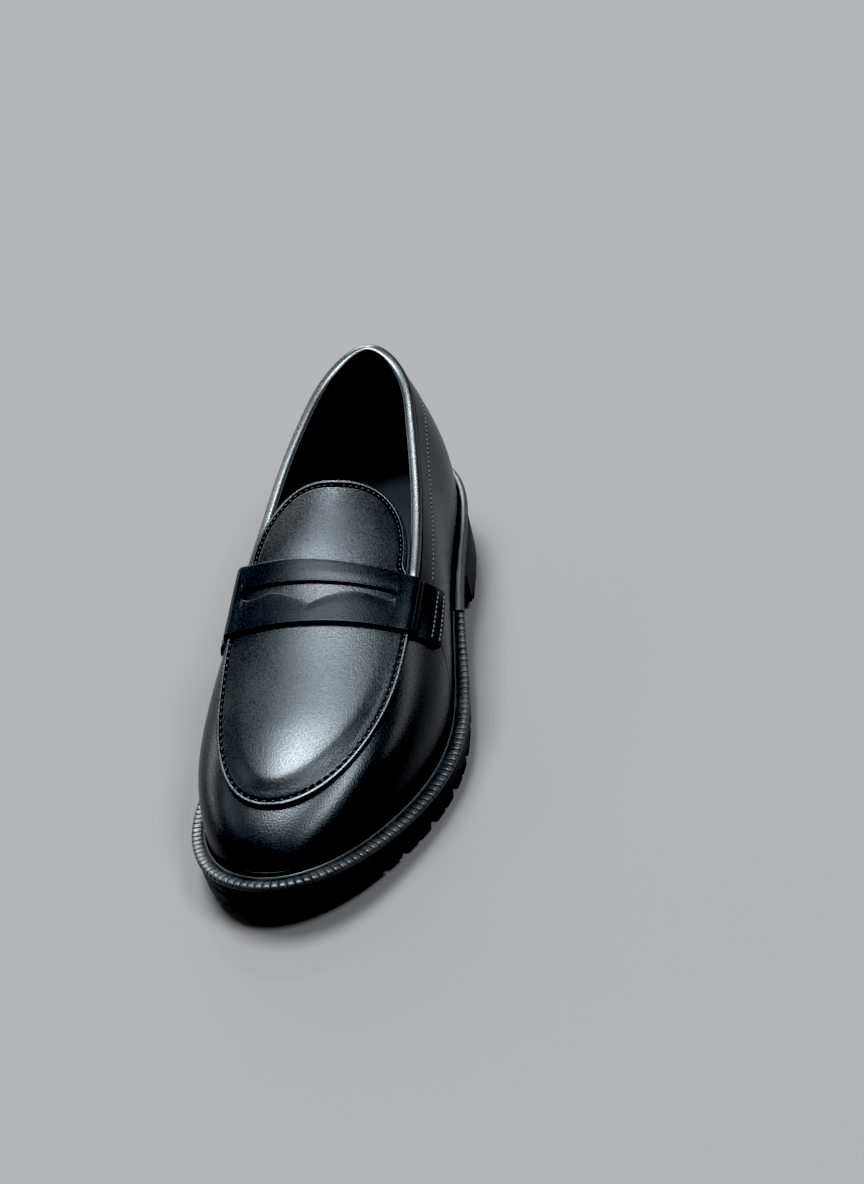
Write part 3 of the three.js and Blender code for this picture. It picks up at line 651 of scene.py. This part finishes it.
def sample(grid, s, t):
    """A grid's value, blended between its points, at shares s along its columns and t along its rows."""
    s = np.clip(s, 0, 1) * (grid.shape[1] - 1)
    t = np.clip(t, 0, 1) * (grid.shape[0] - 1)
    i = np.minimum(np.floor(t).astype(int), grid.shape[0] - 2)
    j = np.minimum(np.floor(s).astype(int), grid.shape[1] - 2)
    a = (t - i)[..., None]
    b = (s - j)[..., None]
    low = grid[i, j] * (1 - b) + grid[i, j + 1] * b
    high = grid[i + 1, j] * (1 - b) + grid[i + 1, j + 1] * b
    return low * (1 - a) + high * a


def strap_surface():
    """The strap's underside, rows from its back edge and columns from its outer end, and its normals."""
    low = strap_paths(np.linspace(0, 1, 15), GAP)
    normals = unit(np.cross(np.gradient(low, axis=1), np.gradient(low, axis=0)))
    return low, normals * np.sign(normals[7, STRAP_STATIONS // 2, 2])


STRAP_SURFACE = strap_surface()


def on_strap(s, t, lift):
    """Points off the strap's underside, at running shares s from its outer end and width shares t."""
    low, normals = STRAP_SURFACE
    return sample(low, s, t) + unit(sample(normals, s, t)) * np.broadcast_to(lift, np.shape(s))[..., None]


SLOT_MIDDLE = 0.5155
SLOT_HALF = 0.28
SLIT = 0.375  # the width share where the strap's rear and front rows meet beside the slot


def slot_edges(s):
    """The slot's rear and front edges, as width shares, at running shares s: an arc and a moustache."""
    x = np.clip((s - SLOT_MIDDLE) / SLOT_HALF, -1, 1)
    end = np.sqrt(np.clip(1 - np.abs(x) ** 24, 0, 1))
    rear = SLIT - 0.03 * end
    point = 0.23 * np.maximum(0, 1 - np.abs(x - 0.07) / 0.56) ** 1.5
    drop = 0.06 * smooth(0.55, 0.9, np.abs(x))
    front = SLIT + (0.085 + point + drop) * end
    return rear, front


def strap_lift(back_rows, front_rows, rear, front, is_open):
    """How thick the strap is at each point: thinned towards the slot, with eased edges."""
    far = np.where(is_open[:, None], 0, 1)
    facing_back = np.concatenate([back_rows, front_rows - front[:, None] + far], axis=1) * STRAP_WIDTH
    facing_front = np.concatenate([rear[:, None] - back_rows + far, 1 - front_rows], axis=1) * STRAP_WIDTH
    to_slot = np.concatenate([facing_front[:, :STRAP_ROWS], facing_back[:, STRAP_ROWS:]], axis=1)
    thinned = 0.35 * (1 - smooth(0.8, 4.0, to_slot))
    chamfer = 0.36 * np.clip(1 - facing_back / 0.9, 0, 1) ** 1.15
    corner = 0.25 * np.clip(1 - np.minimum(facing_front, facing_back) / 0.25, 0, 1) ** 2
    return STRAP - thinned - chamfer - corner


def strap_faces(stations, count, is_open):
    """Faces of the strap's top and underside, of its four sides and of the slot's walls."""
    under = stations * count
    faces = []
    for i in range(stations - 1):
        here = i * count
        for j in range(count - 1):
            if j == STRAP_ROWS - 1:
                continue
            a, b = here + j, here + count + j
            faces.append([a, a + 1, b + 1, b])
            faces.append([under + a, under + b, under + b + 1, under + a + 1])
        slot_sides = (STRAP_ROWS - 1, STRAP_ROWS) if is_open[i] or is_open[i + 1] else ()
        for j in (0, count - 1, *slot_sides):
            a, b = here + j, here + count + j
            faces.append([a, b, under + b, under + a])
    for i in (0, stations - 1):
        for j in range(count - 1):
            a = i * count + j
            faces.append([a, a + 1, under + a + 1, under + a])
    return faces


def build_strap():
    """The saddle strap, with its slot open through it."""
    slot = SLOT_MIDDLE + SLOT_HALF * np.sin(np.linspace(-1, 1, 241) * math.pi / 2)
    s = np.concatenate([np.linspace(0, slot[0], 70)[:-1], slot, np.linspace(slot[-1], 1, 70)[1:]])
    is_open = (s > slot[0]) & (s < slot[-1])
    rear, front = (np.where(is_open, slot_edge, SLIT) for slot_edge in slot_edges(s))
    fine = np.array([0, 0.004, 0.012, 0.025, 0.045, 0.07, 0.1, 0.2, 0.35])
    k = np.concatenate([fine, [0.5], 1 - fine[::-1]])
    back_rows = k[None, :] * rear[:, None]
    front_rows = front[:, None] + (1 - front)[:, None] * k[None, :]
    shares = np.concatenate([back_rows, front_rows], axis=1)
    ss = np.broadcast_to(s[:, None], shares.shape)
    top = on_strap(ss, shares, strap_lift(back_rows, front_rows, rear, front, is_open))
    under = on_strap(ss, shares, 0.0)
    faces = strap_faces(len(s), shares.shape[1], is_open)
    return closed_mesh("strap_leather", np.concatenate([top, under]), faces, 1e-5)


def strap_stitches(name, s):
    """A row of stitches across the strap at a running share."""
    t = np.linspace(0.06, 0.94, 60)
    s = np.full(len(t), s)
    path = on_strap(s, t, STRAP)
    normals = unit(on_strap(s, t, STRAP + 1) - path)
    return stitches(name, path, normals, **FINE_STITCH, radius=0.36, sink=0.25)


# ---- The sole ----
RUN_STATIONS = np.linspace(0, AROUND, 4001)
RUN_LENGTHS = running_length(edge(RUN_STATIONS, 0, 0))


def station_at(run):
    """The station at a running length along the sole's edge from the back of the heel."""
    return np.interp(run, RUN_LENGTHS, RUN_STATIONS)


def run_at(station):
    return np.interp(station, RUN_STATIONS, RUN_LENGTHS)


RIB_PITCH = 3.6
RIB_STEPS = 12
RIB_CUT = (0.35, 1.1)  # how far the cuts between ribs go in from the side and down from the top


def build_welt():
    """The ribbed welt: domed ribs across its ledge, a groove, and a bead against the upper."""
    start, end = run_at(RAND_END + 0.02), run_at(AROUND - RAND_END - 0.02)
    ribs = round((end - start) / RIB_PITCH)
    runs = np.linspace(start, end, ribs * RIB_STEPS + 1)
    u = station_at(runs)
    w = welt_width(u)[:, None]
    phase = (np.arange(len(runs)) % RIB_STEPS) / RIB_STEPS
    cut = (np.abs(2 * phase - 1) ** 6)[:, None]
    one = np.ones_like(w)
    side_cut, top_cut = RIB_CUT
    # Inset from the sole's edge, height, and how much of the cut each line of points takes.
    outer = [
        (0.5, 0.0, 0), (0.12, 0.5, 0), (0.0, 1.3, 0.3), (0.0, 2.2, 1),
        (0.2, 2.9, 1), (0.7, 3.35, 1), (1.4, 3.5, 1),
    ]
    # The same for the lines that follow the upper, with the distance out from it.
    inner = [
        (3.3, 3.5, 1), (2.95, 3.2, 1), (2.7, 2.5, 0), (2.4, 2.2, 0), (2.15, 2.5, 0), (1.98, 3.6, 0),
        (1.8, 4.2, 0), (1.42, 4.5, 0), (1.05, 4.3, 0), (0.8, 3.7, 0), (0.6, 2.6, 0), (0.3, 0.0, 0),
    ]
    inset = [one * a + side_cut * cut * ribbed for a, _, ribbed in outer] + [w - a for a, _, _ in inner]
    height = [one * h - top_cut * cut * ribbed * (h > 2) for _, h, ribbed in outer + inner]
    inset = np.concatenate(inset, axis=1)
    height = np.concatenate(height, axis=1)
    return loft("ribbed_welt", edge(u[:, None], inset, Z_WELT + height), smooth_angle=60)


def build_rand():
    """The smooth rand that carries the welt's line on round the heel."""
    u = np.linspace(-RAND_END, RAND_END, 360)
    w = welt_width(u)[:, None]
    outer = [(0.6, 0), (0.2, 0.6), (0.02, 1.4), (0.1, 2.3), (0.5, 3.1), (1.1, 3.5)]
    inner = [(2.2, 3.6), (1.6, 3.4), (1.1, 2.8), (0.7, 1.8), (0.3, 0.0)]
    inset = np.concatenate([a + 0 * w for a, _ in outer] + [w - a for a, _ in inner], axis=1)
    height = np.array([h for _, h in outer + inner])[None, :]
    return loft("heel_rand_rubber", edge(u[:, None], inset, Z_WELT + height))


def sole_side(height):
    """How far in the sole's side lies at a height: it tapers a little towards the floor."""
    return 0.7 + 1.3 * (1 - np.clip(height / Z_WELT, 0, 1))


def build_layer(name, low, high, bevel=0.45):
    """A solid layer of the sole whose side edges are rounded."""
    near, far = 0.13 * bevel, 0.4 * bevel
    rims = [
        (4.0, low), (bevel, low), (near, low + far), (0, low + bevel), (0, (low + high) / 2),
        (0, high - bevel), (near, high - far), (bevel, high), (4.0, high),
    ]
    u = np.linspace(0, AROUND, 721)[:-1]
    return slab(name, [edge(u, sole_side(z) + inset, z) for inset, z in rims])


BEND_SHARE = 0.7  # of the edge's tightest radius: blocks reach in no further, so their sides never cross


def deepest_inset(u_of, run_low, run_high):
    """How far in from the sole's edge a block between two running lengths may reach."""
    runs = np.linspace(run_low, run_high, 9)
    out = outward(SOLE, u_of(runs))
    turn = np.linalg.norm(np.diff(out, axis=0), axis=1)
    return BEND_SHARE * (runs[1] - runs[0]) / max(turn.max(), 1e-4)


def rounded_block(u_of, run_low, run_high, inset_low, inset_high, corner=1.6):
    """The plan of a block between two running lengths and two insets, by how far it is grown."""
    inset_high = min(inset_high, deepest_inset(u_of, run_low, run_high))
    half_run = (run_high - run_low) / 2 - corner
    half_inset = (inset_high - inset_low) / 2 - corner
    a = ring_of_angles(32)
    c, s = np.cos(a), np.sin(a)

    def plan(by):
        run = (run_low + run_high) / 2 + np.sign(c) * half_run + (corner + by) * c
        inset = (inset_low + inset_high) / 2 + np.sign(s) * half_inset + (corner + by) * s
        return edge(u_of(run), inset, 0)[:, :2]

    return plan


def tread_blocks(name, plans, root, follow):
    """Blocks that stand down from the tread, each grown level by level: drafted sides and a rounded foot."""
    levels = [(root + 0.5, 0.55), (root - 0.4, 0.35), (0.9, 0.0), (0.35, -0.12), (0.1, -0.35), (0.0, -0.7)]
    points = []
    faces = []
    for plan in plans:
        start = len(points)
        for z, by in levels:
            ring = plan(by)
            lift = rise(ring[:, 0]) if follow else np.zeros(len(ring))
            points.extend(np.column_stack([ring, z + lift]))
        n = len(ring)
        faces.extend(grid_faces(len(levels), n, wrap_columns=True, start=start))
        faces.extend(face[::-1] for face in end_faces(n, len(levels), start))
    return face_out(add_mesh(name, np.array(points), faces))


LUG_PAIR = 23.6
LUG_WIDTH = 8.5
LUG_HEAD = 12.0
LUG_LENGTH = 24.0
LUG_SPACE = 0.8
LUGS_START = 4.55


def lug_plans(start, end, face):
    """The plans of pairs of edge lugs: an outer head and a narrower inner block each."""
    pairs = round((end - start) / LUG_PAIR)
    pitch = (end - start) / pairs
    neck = face + LUG_HEAD + LUG_SPACE
    plans = []
    for k in range(pairs):
        middle = start + (k + 0.5) * pitch
        for side in (-1, 1):
            centre = middle + side * (LUG_WIDTH / 2 + 0.6)
            low, high = centre - LUG_WIDTH / 2, centre + LUG_WIDTH / 2
            at_toe = TOE_WALL[0] < station_at(centre) < TOE_WALL[1]
            front = face + (TOE_WALL_WIDTH - 0.4) * at_toe
            plans.append(rounded_block(station_at, low, high, front, face + LUG_HEAD, 1.3))
            if deepest_inset(station_at, low + 1.0, high - 1.0) > neck + 4:
                plans.append(rounded_block(station_at, low + 1.0, high - 1.0, neck, face + LUG_LENGTH, 1.3))
    return plans


def petal_stud(x, y, waist=2.6, reach=8.75):
    """The plan of a stud with four petals round a waist."""
    a = ring_of_angles(64)
    radius = waist + (reach - waist) * np.abs(np.cos(2 * a)) ** 2.2
    return lambda by: np.stack([x + (radius + by) * np.cos(a), y + (radius + by) * np.sin(a)], axis=1)


STUDS = [(176, 8.6), (196.3, -2.5), (209, 8), (220.6, -9), (233.5, 2), (253, -7.5)]
TOE_WALL = (8.3, 11.7)
TOE_WALL_WIDTH = 2.4


def toe_wall(face):
    """The plan of the thin wall that closes the lugs' gaps round the toe."""
    u = np.linspace(*TOE_WALL, 90)

    def plan(by):
        outer = edge(u, face - by, 0)
        inner = edge(u[::-1], face + TOE_WALL_WIDTH + by, 0)
        return np.concatenate([outer, inner])[:, :2]

    return plan


def build_tread():
    """The forepart's edge lugs, its studs and its toe wall."""
    face = sole_side(0)
    plans = lug_plans(run_at(LUGS_START), run_at(AROUND - LUGS_START), face)
    plans += [petal_stud(x, y) for x, y in STUDS]
    plans.append(toe_wall(face))
    return tread_blocks("forepart_lugs", plans, Z_BASE, True)


def heel_station(run):
    """The station at a running length that is less than nothing on the inner side of the heel."""
    return station_at(np.asarray(run) % RUN_LENGTHS[-1])


HEEL_LUGS = 7
HEEL_LUG_GAP = 3.0
HEEL_LUG_DEEP = 17.0
HEEL_LUGS_END = 2.66
HEEL_BARS = [(34, 10), (52, 13)]  # each bar's place along the shoe and how far it reaches to either side
HEEL_BLOCK_SIDE = 0.6  # the heel block's side lies this share as far in as the lugs'


def heel_lug_plans():
    """A ring of wide lugs round the heel and two bars inside it."""
    face = sole_side(0)
    low, high = run_at(AROUND - HEEL_LUGS_END) - RUN_LENGTHS[-1], run_at(HEEL_LUGS_END)
    pitch = (high - low) / HEEL_LUGS
    half = (pitch - HEEL_LUG_GAP) / 2
    plans = []
    for k in range(HEEL_LUGS):
        centre = low + (k + 0.5) * pitch
        plans.append(rounded_block(heel_station, centre - half, centre + half, face, face + HEEL_LUG_DEEP))
    return plans + [bar(x, reach) for x, reach in HEEL_BARS]


def bar(x, reach, half=5.5, corner=1.6):
    """The plan of a straight bar across the heel."""
    a = ring_of_angles(32)
    c, s = np.cos(a), np.sin(a)

    def plan(by):
        along = x + np.sign(c) * (half - corner) + (corner + by) * c
        across = np.sign(s) * (reach - corner) + (corner + by) * s
        return np.stack([along, across], axis=1)

    return plan


def build_heel():
    """The heel block down to the lugs' root: its side, its flat breast and its top under the outsole."""
    u = np.linspace(-HEEL_END, HEEL_END, 181)
    foot = np.full(len(u), LUG_DEPTH)
    top = Z_BASE - 0.05 + rise(edge(u, 1.2, 0)[:, 0])
    rims = [
        (3.0, foot), (0.4, foot), (0.05, foot + 0.3), (0, foot + 1),
        (0, top - 0.6), (0.1, top - 0.2), (0.5, top), (3.0, top),
    ]
    rows = []
    for inset, height in rims:
        p = edge(u, sole_side(0) * HEEL_BLOCK_SIDE + inset, 0)
        p[:, 2] = height
        rows.append(p)
    n = len(u)
    faces = grid_faces(len(rows), n)
    for start in (0, (len(rows) - 1) * n):
        for i in range(n // 2):
            faces.append([start + i, start + i + 1, start + n - 2 - i, start + n - 1 - i])
    outer_end = [row * n for row in range(len(rows))]
    inner_end = [row * n + n - 1 for row in range(len(rows))]
    faces.append(outer_end + inner_end[::-1])
    return closed_mesh("heel_block_rubber", rows, faces)


# ---- The inside ----
SOCK_INSET = 7.6


def build_sock():
    """The sock liner, from the heel to the toe."""
    u = np.linspace(0, AROUND, 241)[:-1]
    rims = [(6.0, 0.0), (0.2, 0.0), (0.0, 0.5), (0.1, 1.1), (0.6, SOCK), (2.0, SOCK + 0.15), (8.0, SOCK)]
    return slab("sock_liner_leather", [edge(u, SOCK_INSET + more, Z_SOCK + height) for more, height in rims])


# ---- Materials ----
def set_sockets(node, numbers):
    for name, number in numbers.items():
        node.inputs[name.replace("_", " ")].default_value = number


class Finish:
    """A node material on the shader that Blender starts with, laid out in frame coordinates."""

    def __init__(self, name):
        self.material = bpy.data.materials.new(name)
        self.material.use_nodes = True
        self.tree = self.material.node_tree
        self.shader = self.tree.nodes["Principled BSDF"]
        self.place = self.tree.nodes.new("ShaderNodeTexCoord").outputs["Object"]
        self.normal = None

    def link(self, source, target):
        self.tree.links.new(source, target)

    def add(self, kind, **numbers):
        """A new node, with the numbers on its sockets: Specular_IOR_Level is Specular IOR Level."""
        node = self.tree.nodes.new("ShaderNode" + kind)
        set_sockets(node, numbers)
        return node

    def noise(self, size_mm, detail, roughness=0.55, stretch=None):
        node = self.add("TexNoise", Scale=1000.0 / size_mm, Detail=detail, Roughness=roughness)
        self.link(self.stretched(stretch) if stretch else self.place, node.inputs["Vector"])
        return node.outputs["Fac"]

    def cells(self, size_mm):
        node = self.add("TexVoronoi", Scale=1000.0 / size_mm)
        self.link(self.place, node.inputs["Vector"])
        return node.outputs["Distance"]

    def stretched(self, stretch):
        node = self.add("Mapping", Scale=stretch)
        self.link(self.place, node.inputs["Vector"])
        return node.outputs["Vector"]

    def spread(self, value, low, high, out_low, out_high):
        """Maps the range from low to high onto the range from out_low to out_high."""
        node = self.add("MapRange", From_Min=low, From_Max=high, To_Min=out_low, To_Max=out_high)
        self.link(value, node.inputs["Value"])
        return node.outputs["Result"]

    def math(self, kind, first, second):
        node = self.add("Math")
        node.operation = kind
        for socket, value in zip(node.inputs, (first, second)):
            if isinstance(value, (int, float)):
                socket.default_value = value
            else:
                self.link(value, socket)
        return node.outputs[0]

    def blend(self, factor, first, second):
        node = self.add("Mix")
        node.data_type = "RGBA"
        self.link(factor, node.inputs["Factor"])
        set_sockets(node, {"A": (*first, 1), "B": (*second, 1)})
        return node.outputs["Result"]

    def roughen(self, height, depth_mm, strength=1.0):
        """Adds one more scale of relief to the surface."""
        node = self.add("Bump", Distance=depth_mm * MM, Strength=strength)
        self.link(height, node.inputs["Height"])
        if self.normal:
            self.link(self.normal, node.inputs["Normal"])
        self.normal = node.outputs["Normal"]
        self.link(self.normal, self.shader.inputs["Normal"])

    def colour(self, source):
        self.link(source, self.shader.inputs["Base Color"])

    def roughness(self, source):
        self.link(source, self.shader.inputs["Roughness"])

    def set(self, **numbers):
        set_sockets(self.shader, numbers)


def leather(name, dark, light, gloss, grain_mm, grain_depth, wave_depth, shine):
    """Dyed leather: pebbled grain, fine pores, slow waves, and a gloss that varies from place to place."""
    f = Finish(name)
    pebbles = f.cells(grain_mm)
    pores = f.noise(grain_mm * 0.45, 4.0, 0.65)
    waves = f.noise(14.0, 2.0, 0.5)
    wear = f.noise(38.0, 4.0, 0.6)
    tone = f.math("MULTIPLY", f.spread(wear, 0.35, 0.7, 0, 1), f.spread(pores, 0.3, 0.7, 0.5, 1))
    f.colour(f.blend(tone, dark, light))
    creases = f.math("ADD", pebbles, f.math("MULTIPLY", pores, 0.5))
    f.roughness(f.math("ADD", f.spread(wear, 0.3, 0.7, *gloss), f.spread(creases, 0.35, 0.95, -0.05, 0.07)))
    f.roughen(waves, wave_depth, 0.6)
    f.roughen(f.math("ADD", f.math("MULTIPLY", pebbles, -1.0), f.math("MULTIPLY", pores, 0.8)), grain_depth)
    f.set(Specular_IOR_Level=shine)
    return f.material


def rubber(name, dark, light, gloss, shine):
    """Moulded rubber: matt, with a faint mould texture, dust and scuffs."""
    f = Finish(name)
    speckle = f.noise(0.6, 5.0, 0.7)
    scuffs = f.noise(9.0, 5.0, 0.65, (1, 1, 2.4))
    f.colour(f.blend(f.spread(scuffs, 0.4, 0.72, 0, 1), dark, light))
    f.roughness(f.math("ADD", f.spread(scuffs, 0.3, 0.7, *gloss), f.spread(speckle, 0.3, 0.7, -0.05, 0.05)))
    f.roughen(f.noise(6.0, 2.0), 0.12, 0.5)
    f.roughen(speckle, 0.03)
    f.set(Specular_IOR_Level=shine)
    return f.material


def twisted_thread(name, dark, light):
    """Waxed thread: fine twisted strands."""
    f = Finish(name)
    strands = f.noise(0.3, 3.0, 0.6, (1, 1, 1.8))
    f.colour(f.blend(strands, dark, light))
    f.roughness(f.spread(strands, 0.3, 0.7, 0.35, 0.6))
    f.roughen(strands, 0.06)
    f.set(Specular_IOR_Level=0.15)
    return f.material


def pressed_board(name, dark, light, fleck_mm, depth):
    """Pressed fibre or cork: flecks of two tones and a dry, uneven face."""
    f = Finish(name)
    flecks = f.cells(fleck_mm)
    fibres = f.noise(fleck_mm * 0.5, 5.0, 0.7)
    f.colour(f.blend(f.math("MULTIPLY", flecks, fibres), dark, light))
    f.roughness(f.spread(fibres, 0.3, 0.7, 0.75, 0.92))
    f.roughen(flecks, depth)
    f.roughen(fibres, depth * 0.5)
    return f.material


def spring_steel(name):
    f = Finish(name)
    brushed = f.noise(0.5, 4.0, 0.6, (0.05, 1, 1))
    f.colour(f.blend(brushed, (0.32, 0.33, 0.35), (0.5, 0.5, 0.52)))
    f.roughness(f.spread(brushed, 0.3, 0.7, 0.25, 0.42))
    f.roughen(brushed, 0.02)
    f.set(Metallic=1.0)
    return f.material


# Each finish's darkest and lightest colour, its roughness, and in mm the size and depth of its grain.
CALF_DARK = (0.0008, 0.0009, 0.0011)
CALF_LIGHT = (0.002, 0.0023, 0.0025)
BINDING_DARK = (0.001, 0.001, 0.0012)
BINDING_LIGHT = (0.0025, 0.0025, 0.003)
CALF = {"gloss": (0.22, 0.28), "grain_mm": 0.85, "grain_depth": 0.043, "wave_depth": 0.03}
BINDING = {"gloss": (0.24, 0.3), "grain_mm": 0.6, "grain_depth": 0.006, "wave_depth": 0.01}
SOFT_LINING = {"gloss": (0.55, 0.65), "grain_mm": 0.7, "grain_depth": 0.04, "wave_depth": 0.1}

MATERIALS = {
    "upper": leather("black_calf", CALF_DARK, CALF_LIGHT, **CALF, shine=0.125),
    "strap": leather("strap_calf", CALF_DARK, CALF_LIGHT, **CALF, shine=0.038),
    "binding": leather("polished_binding", BINDING_DARK, BINDING_LIGHT, **BINDING, shine=0.26),
    "lining": leather("black_lining", (0.0005,) * 3, (0.0015,) * 3, **SOFT_LINING, shine=0.08),
    "rubber": rubber("black_rubber", (0.0008, 0.0008, 0.0009), (0.0025, 0.0025, 0.0028), (0.5, 0.68), 0.13),
    "welt": rubber("welt_rubber", (0.004, 0.004, 0.0043), (0.011, 0.011, 0.0115), (0.34, 0.5), 0.27),
    "thread": twisted_thread("waxed_thread", (0.0005, 0.0005, 0.0008), (0.002, 0.002, 0.0025)),
    # The collar and strap stitches use a lighter grey thread than the apron and tongue.
    "pale_thread": twisted_thread("pale_grey_thread", (0.009, 0.0095, 0.010), (0.032, 0.033, 0.034)),
    "board": pressed_board("fibre_board", (0.16, 0.10, 0.06), (0.36, 0.26, 0.17), 1.2, 0.08),
    "cork": pressed_board("cork_filler", (0.19, 0.10, 0.045), (0.45, 0.29, 0.15), 2.2, 0.2),
    "foam": pressed_board("heel_foam", (0.42, 0.40, 0.36), (0.62, 0.6, 0.55), 0.8, 0.12),
    "steel": spring_steel("shank_steel"),
}


def finish_piece(piece, material, *nodes):
    """Gives a piece its material, hangs it on the root body and hides the CAD nodes it stands for."""
    piece.data.materials.clear()
    piece.data.materials.append(MATERIALS[material])
    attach(piece, "root")
    if nodes:
        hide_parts(*nodes)


def build_shoe():
    """Every visible piece, with its material and the CAD node that it replaces."""
    seam = Z_MIDSOLE - GAP / 2
    pieces = [
        (build_apron(), "upper", "apron"),
        (build_vamp(), "upper", "vamp"),
        (build_quarter("quarter_leather_outer", 1), "upper", "quarter_outer"),
        (build_quarter("quarter_leather_inner", -1), "upper", "quarter_inner"),
        (build_back_strip(), "upper", "back_strip"),
        (build_binding(), "binding", "topline_binding"),
        (build_strap(), "strap", "strap"),
        (build_quarter_lining(), "lining", "quarter_lining"),
        (build_apron_lining(), "lining", "apron_lining"),
        (build_sock(), "lining", "sock_liner"),
        (build_welt(), "welt", "welt"),
        (build_rand(), "welt", "heel_rand"),
        (build_layer("midsole_rubber", seam, Z_WELT - 0.05), "rubber", "midsole"),
        (build_layer("outsole_plate", Z_BASE, seam - 0.05), "rubber", "outsole"),
        (build_tread(), "rubber"),
        (build_heel(), "rubber", "heel_block"),
        (tread_blocks("heel_lugs", heel_lug_plans(), LUG_DEPTH, False), "rubber"),
        (groove_stitches("apron_thread", APRON_SEAM, 6.0, 11, LONG_STITCH), "thread", "apron_stitch"),
        (groove_stitches("tongue_thread", TONGUE_SEAM, 0, 5.1, FINE_STITCH), "thread", "tongue_stitch"),
        (collar_stitches("collar_thread_outer", 1), "pale_thread", "collar_stitch_outer"),
        (collar_stitches("collar_thread_inner", -1), "pale_thread", "collar_stitch_inner"),
    ]
    for place, s in STRAP_STITCHES.items():
        pieces.append((strap_stitches(f"strap_thread_{place}", s), "pale_thread", f"strap_stitch_{place}"))
    for piece, material, *nodes in pieces:
        finish_piece(piece, material, *nodes)


def paint_hidden_nodes():
    """Materials for the CAD nodes that stay as they are."""
    finishes = {
        "cork_filler": "cork", "heel_filler": "foam", "shank": "steel", "insole_board": "board",
        "heel_counter": "board", "toe_puff": "board", "vamp_lining": "lining",
    }
    for name, finish in finishes.items():
        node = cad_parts[name]
        node.data.materials.clear()
        node.data.materials.append(MATERIALS[finish])


# ---- The studio ----
BACKDROP = (0.0635, 0.0562, 0.0535)
BACKDROP_GLOW = 0.005
FLOOR_HALF = 15.0
LIGHT_DISTANCE = 8.0
COOL = (0.80, 0.93, 1.0)
WORLD_COLOUR = (0.95, 0.97, 1.0)
WORLD_STRENGTH = 0.24
BLACK_LEVEL = 0.016  # values below this are drawn black


def add_floor():
    """A matt paper floor that glows a little, so that it stays pale and even."""
    mesh = bpy.data.meshes.new("floor")
    corners = [(x * FLOOR_HALF, y * FLOOR_HALF, 0) for x, y in ((-1, -1), (1, -1), (1, 1), (-1, 1))]
    mesh.from_pydata(corners, [], [(0, 1, 2, 3)])
    paper = bpy.data.materials.new("studio_floor")
    paper.use_nodes = True
    look = {"Base Color": (*BACKDROP, 1), "Roughness": 0.9, "Specular IOR Level": 0.0}
    glow = {"Emission Color": (1, 1, 1, 1), "Emission Strength": BACKDROP_GLOW}
    set_sockets(paper.node_tree.nodes["Principled BSDF"], look | glow)
    mesh.materials.append(paper)
    add_object("floor", mesh)


def add_light(name, direction, wide, high, brightness, colour=(1, 1, 1)):
    """A softbox far off that faces the shoe; its sides are shares of its distance, the wide one level."""
    back = Vector(direction).normalized()
    lamp = bpy.data.lights.new(name, "AREA")
    lamp.shape = "RECTANGLE"
    lamp.size = wide * LIGHT_DISTANCE
    lamp.size_y = high * LIGHT_DISTANCE
    lamp.energy = brightness * math.pi * lamp.size * lamp.size_y
    lamp.color = colour
    light = add_object(name, lamp)
    side = Vector((1, 0, 0)) if back.z > 0.6 else Vector((-back.y, back.x, 0))
    side = (side - back * side.dot(back)).normalized()
    turn = Matrix((side, back.cross(side), back)).transposed().to_4x4()
    light.visible_camera = False
    light.matrix_world = Matrix.Translation(back * LIGHT_DISTANCE) @ turn


def light_studio():
    world = bpy.data.worlds.new("studio")
    world.use_nodes = True
    sky = {"Color": (*WORLD_COLOUR, 1), "Strength": WORLD_STRENGTH}
    set_sockets(world.node_tree.nodes["Background"], sky)
    bpy.context.scene.world = world
    add_light("key_softbox", (-0.13, -0.14, 0.98), 0.44, 0.34, 124, colour=COOL)
    add_light("tongue_softbox", (-0.69, -0.17, 0.70), 0.08, 0.08, 300, colour=COOL)
    add_light("toe_softbox", (0.22, 0.18, 0.96), 0.14, 0.34, 20, colour=COOL)
    add_light("outer_softbox", (0.26, 0.46, 0.85), 0.30, 0.20, 115, colour=COOL)
    add_light("inner_softbox", (0.0, -0.74, 0.67), 0.3, 0.20, 8, colour=COOL)
    add_light("back_rim", (-0.87, -0.27, 0.41), 0.50, 0.22, 24)
    add_light("side_outer", (-0.45, 0.86, 0.22), 0.8, 0.22, 6)
    add_light("side_inner", (-0.45, -0.87, 0.22), 0.8, 0.22, 6)


CAMERA_TARGET = (120.06, 36.93, 43.59)  # in the shoe's layout
CAMERA_DISTANCE = 2300.0
CAMERA_AZIMUTH = 16.9
CAMERA_ELEVATION = 35.6
CAMERA_ROLL = -13.2
CAMERA_LENS = 159.94


def add_camera():
    """A long lens that looks back at its target from in front and above, rolled about its own axis."""
    data = bpy.data.cameras.new("camera")
    data.lens = CAMERA_LENS
    data.sensor_width = 36
    camera = add_object("camera", data)
    azimuth, elevation = math.radians(CAMERA_AZIMUTH), math.radians(CAMERA_ELEVATION)
    target = Vector(((np.array(CAMERA_TARGET) - LAYOUT_ORIGIN) * MM).tolist())
    aim = Matrix.Rotation(azimuth + math.pi / 2, 4, "Z") @ Matrix.Rotation(math.pi / 2 - elevation, 4, "X")
    roll = Matrix.Rotation(math.radians(CAMERA_ROLL), 4, "Z")
    back_off = Matrix.Translation((0, 0, CAMERA_DISTANCE * MM))
    camera.matrix_world = Matrix.Translation(target) @ aim @ roll @ back_off
    bpy.context.scene.camera = camera


def set_tones():
    """Plain tones, with the darkest values drawn black."""
    view = bpy.context.scene.view_settings
    view.view_transform = "Standard"
    view.use_curve_mapping = True
    view.curve_mapping.black_level = (BLACK_LEVEL,) * 3


build_shoe()
paint_hidden_nodes()
add_floor()
light_studio()
add_camera()
set_tones()
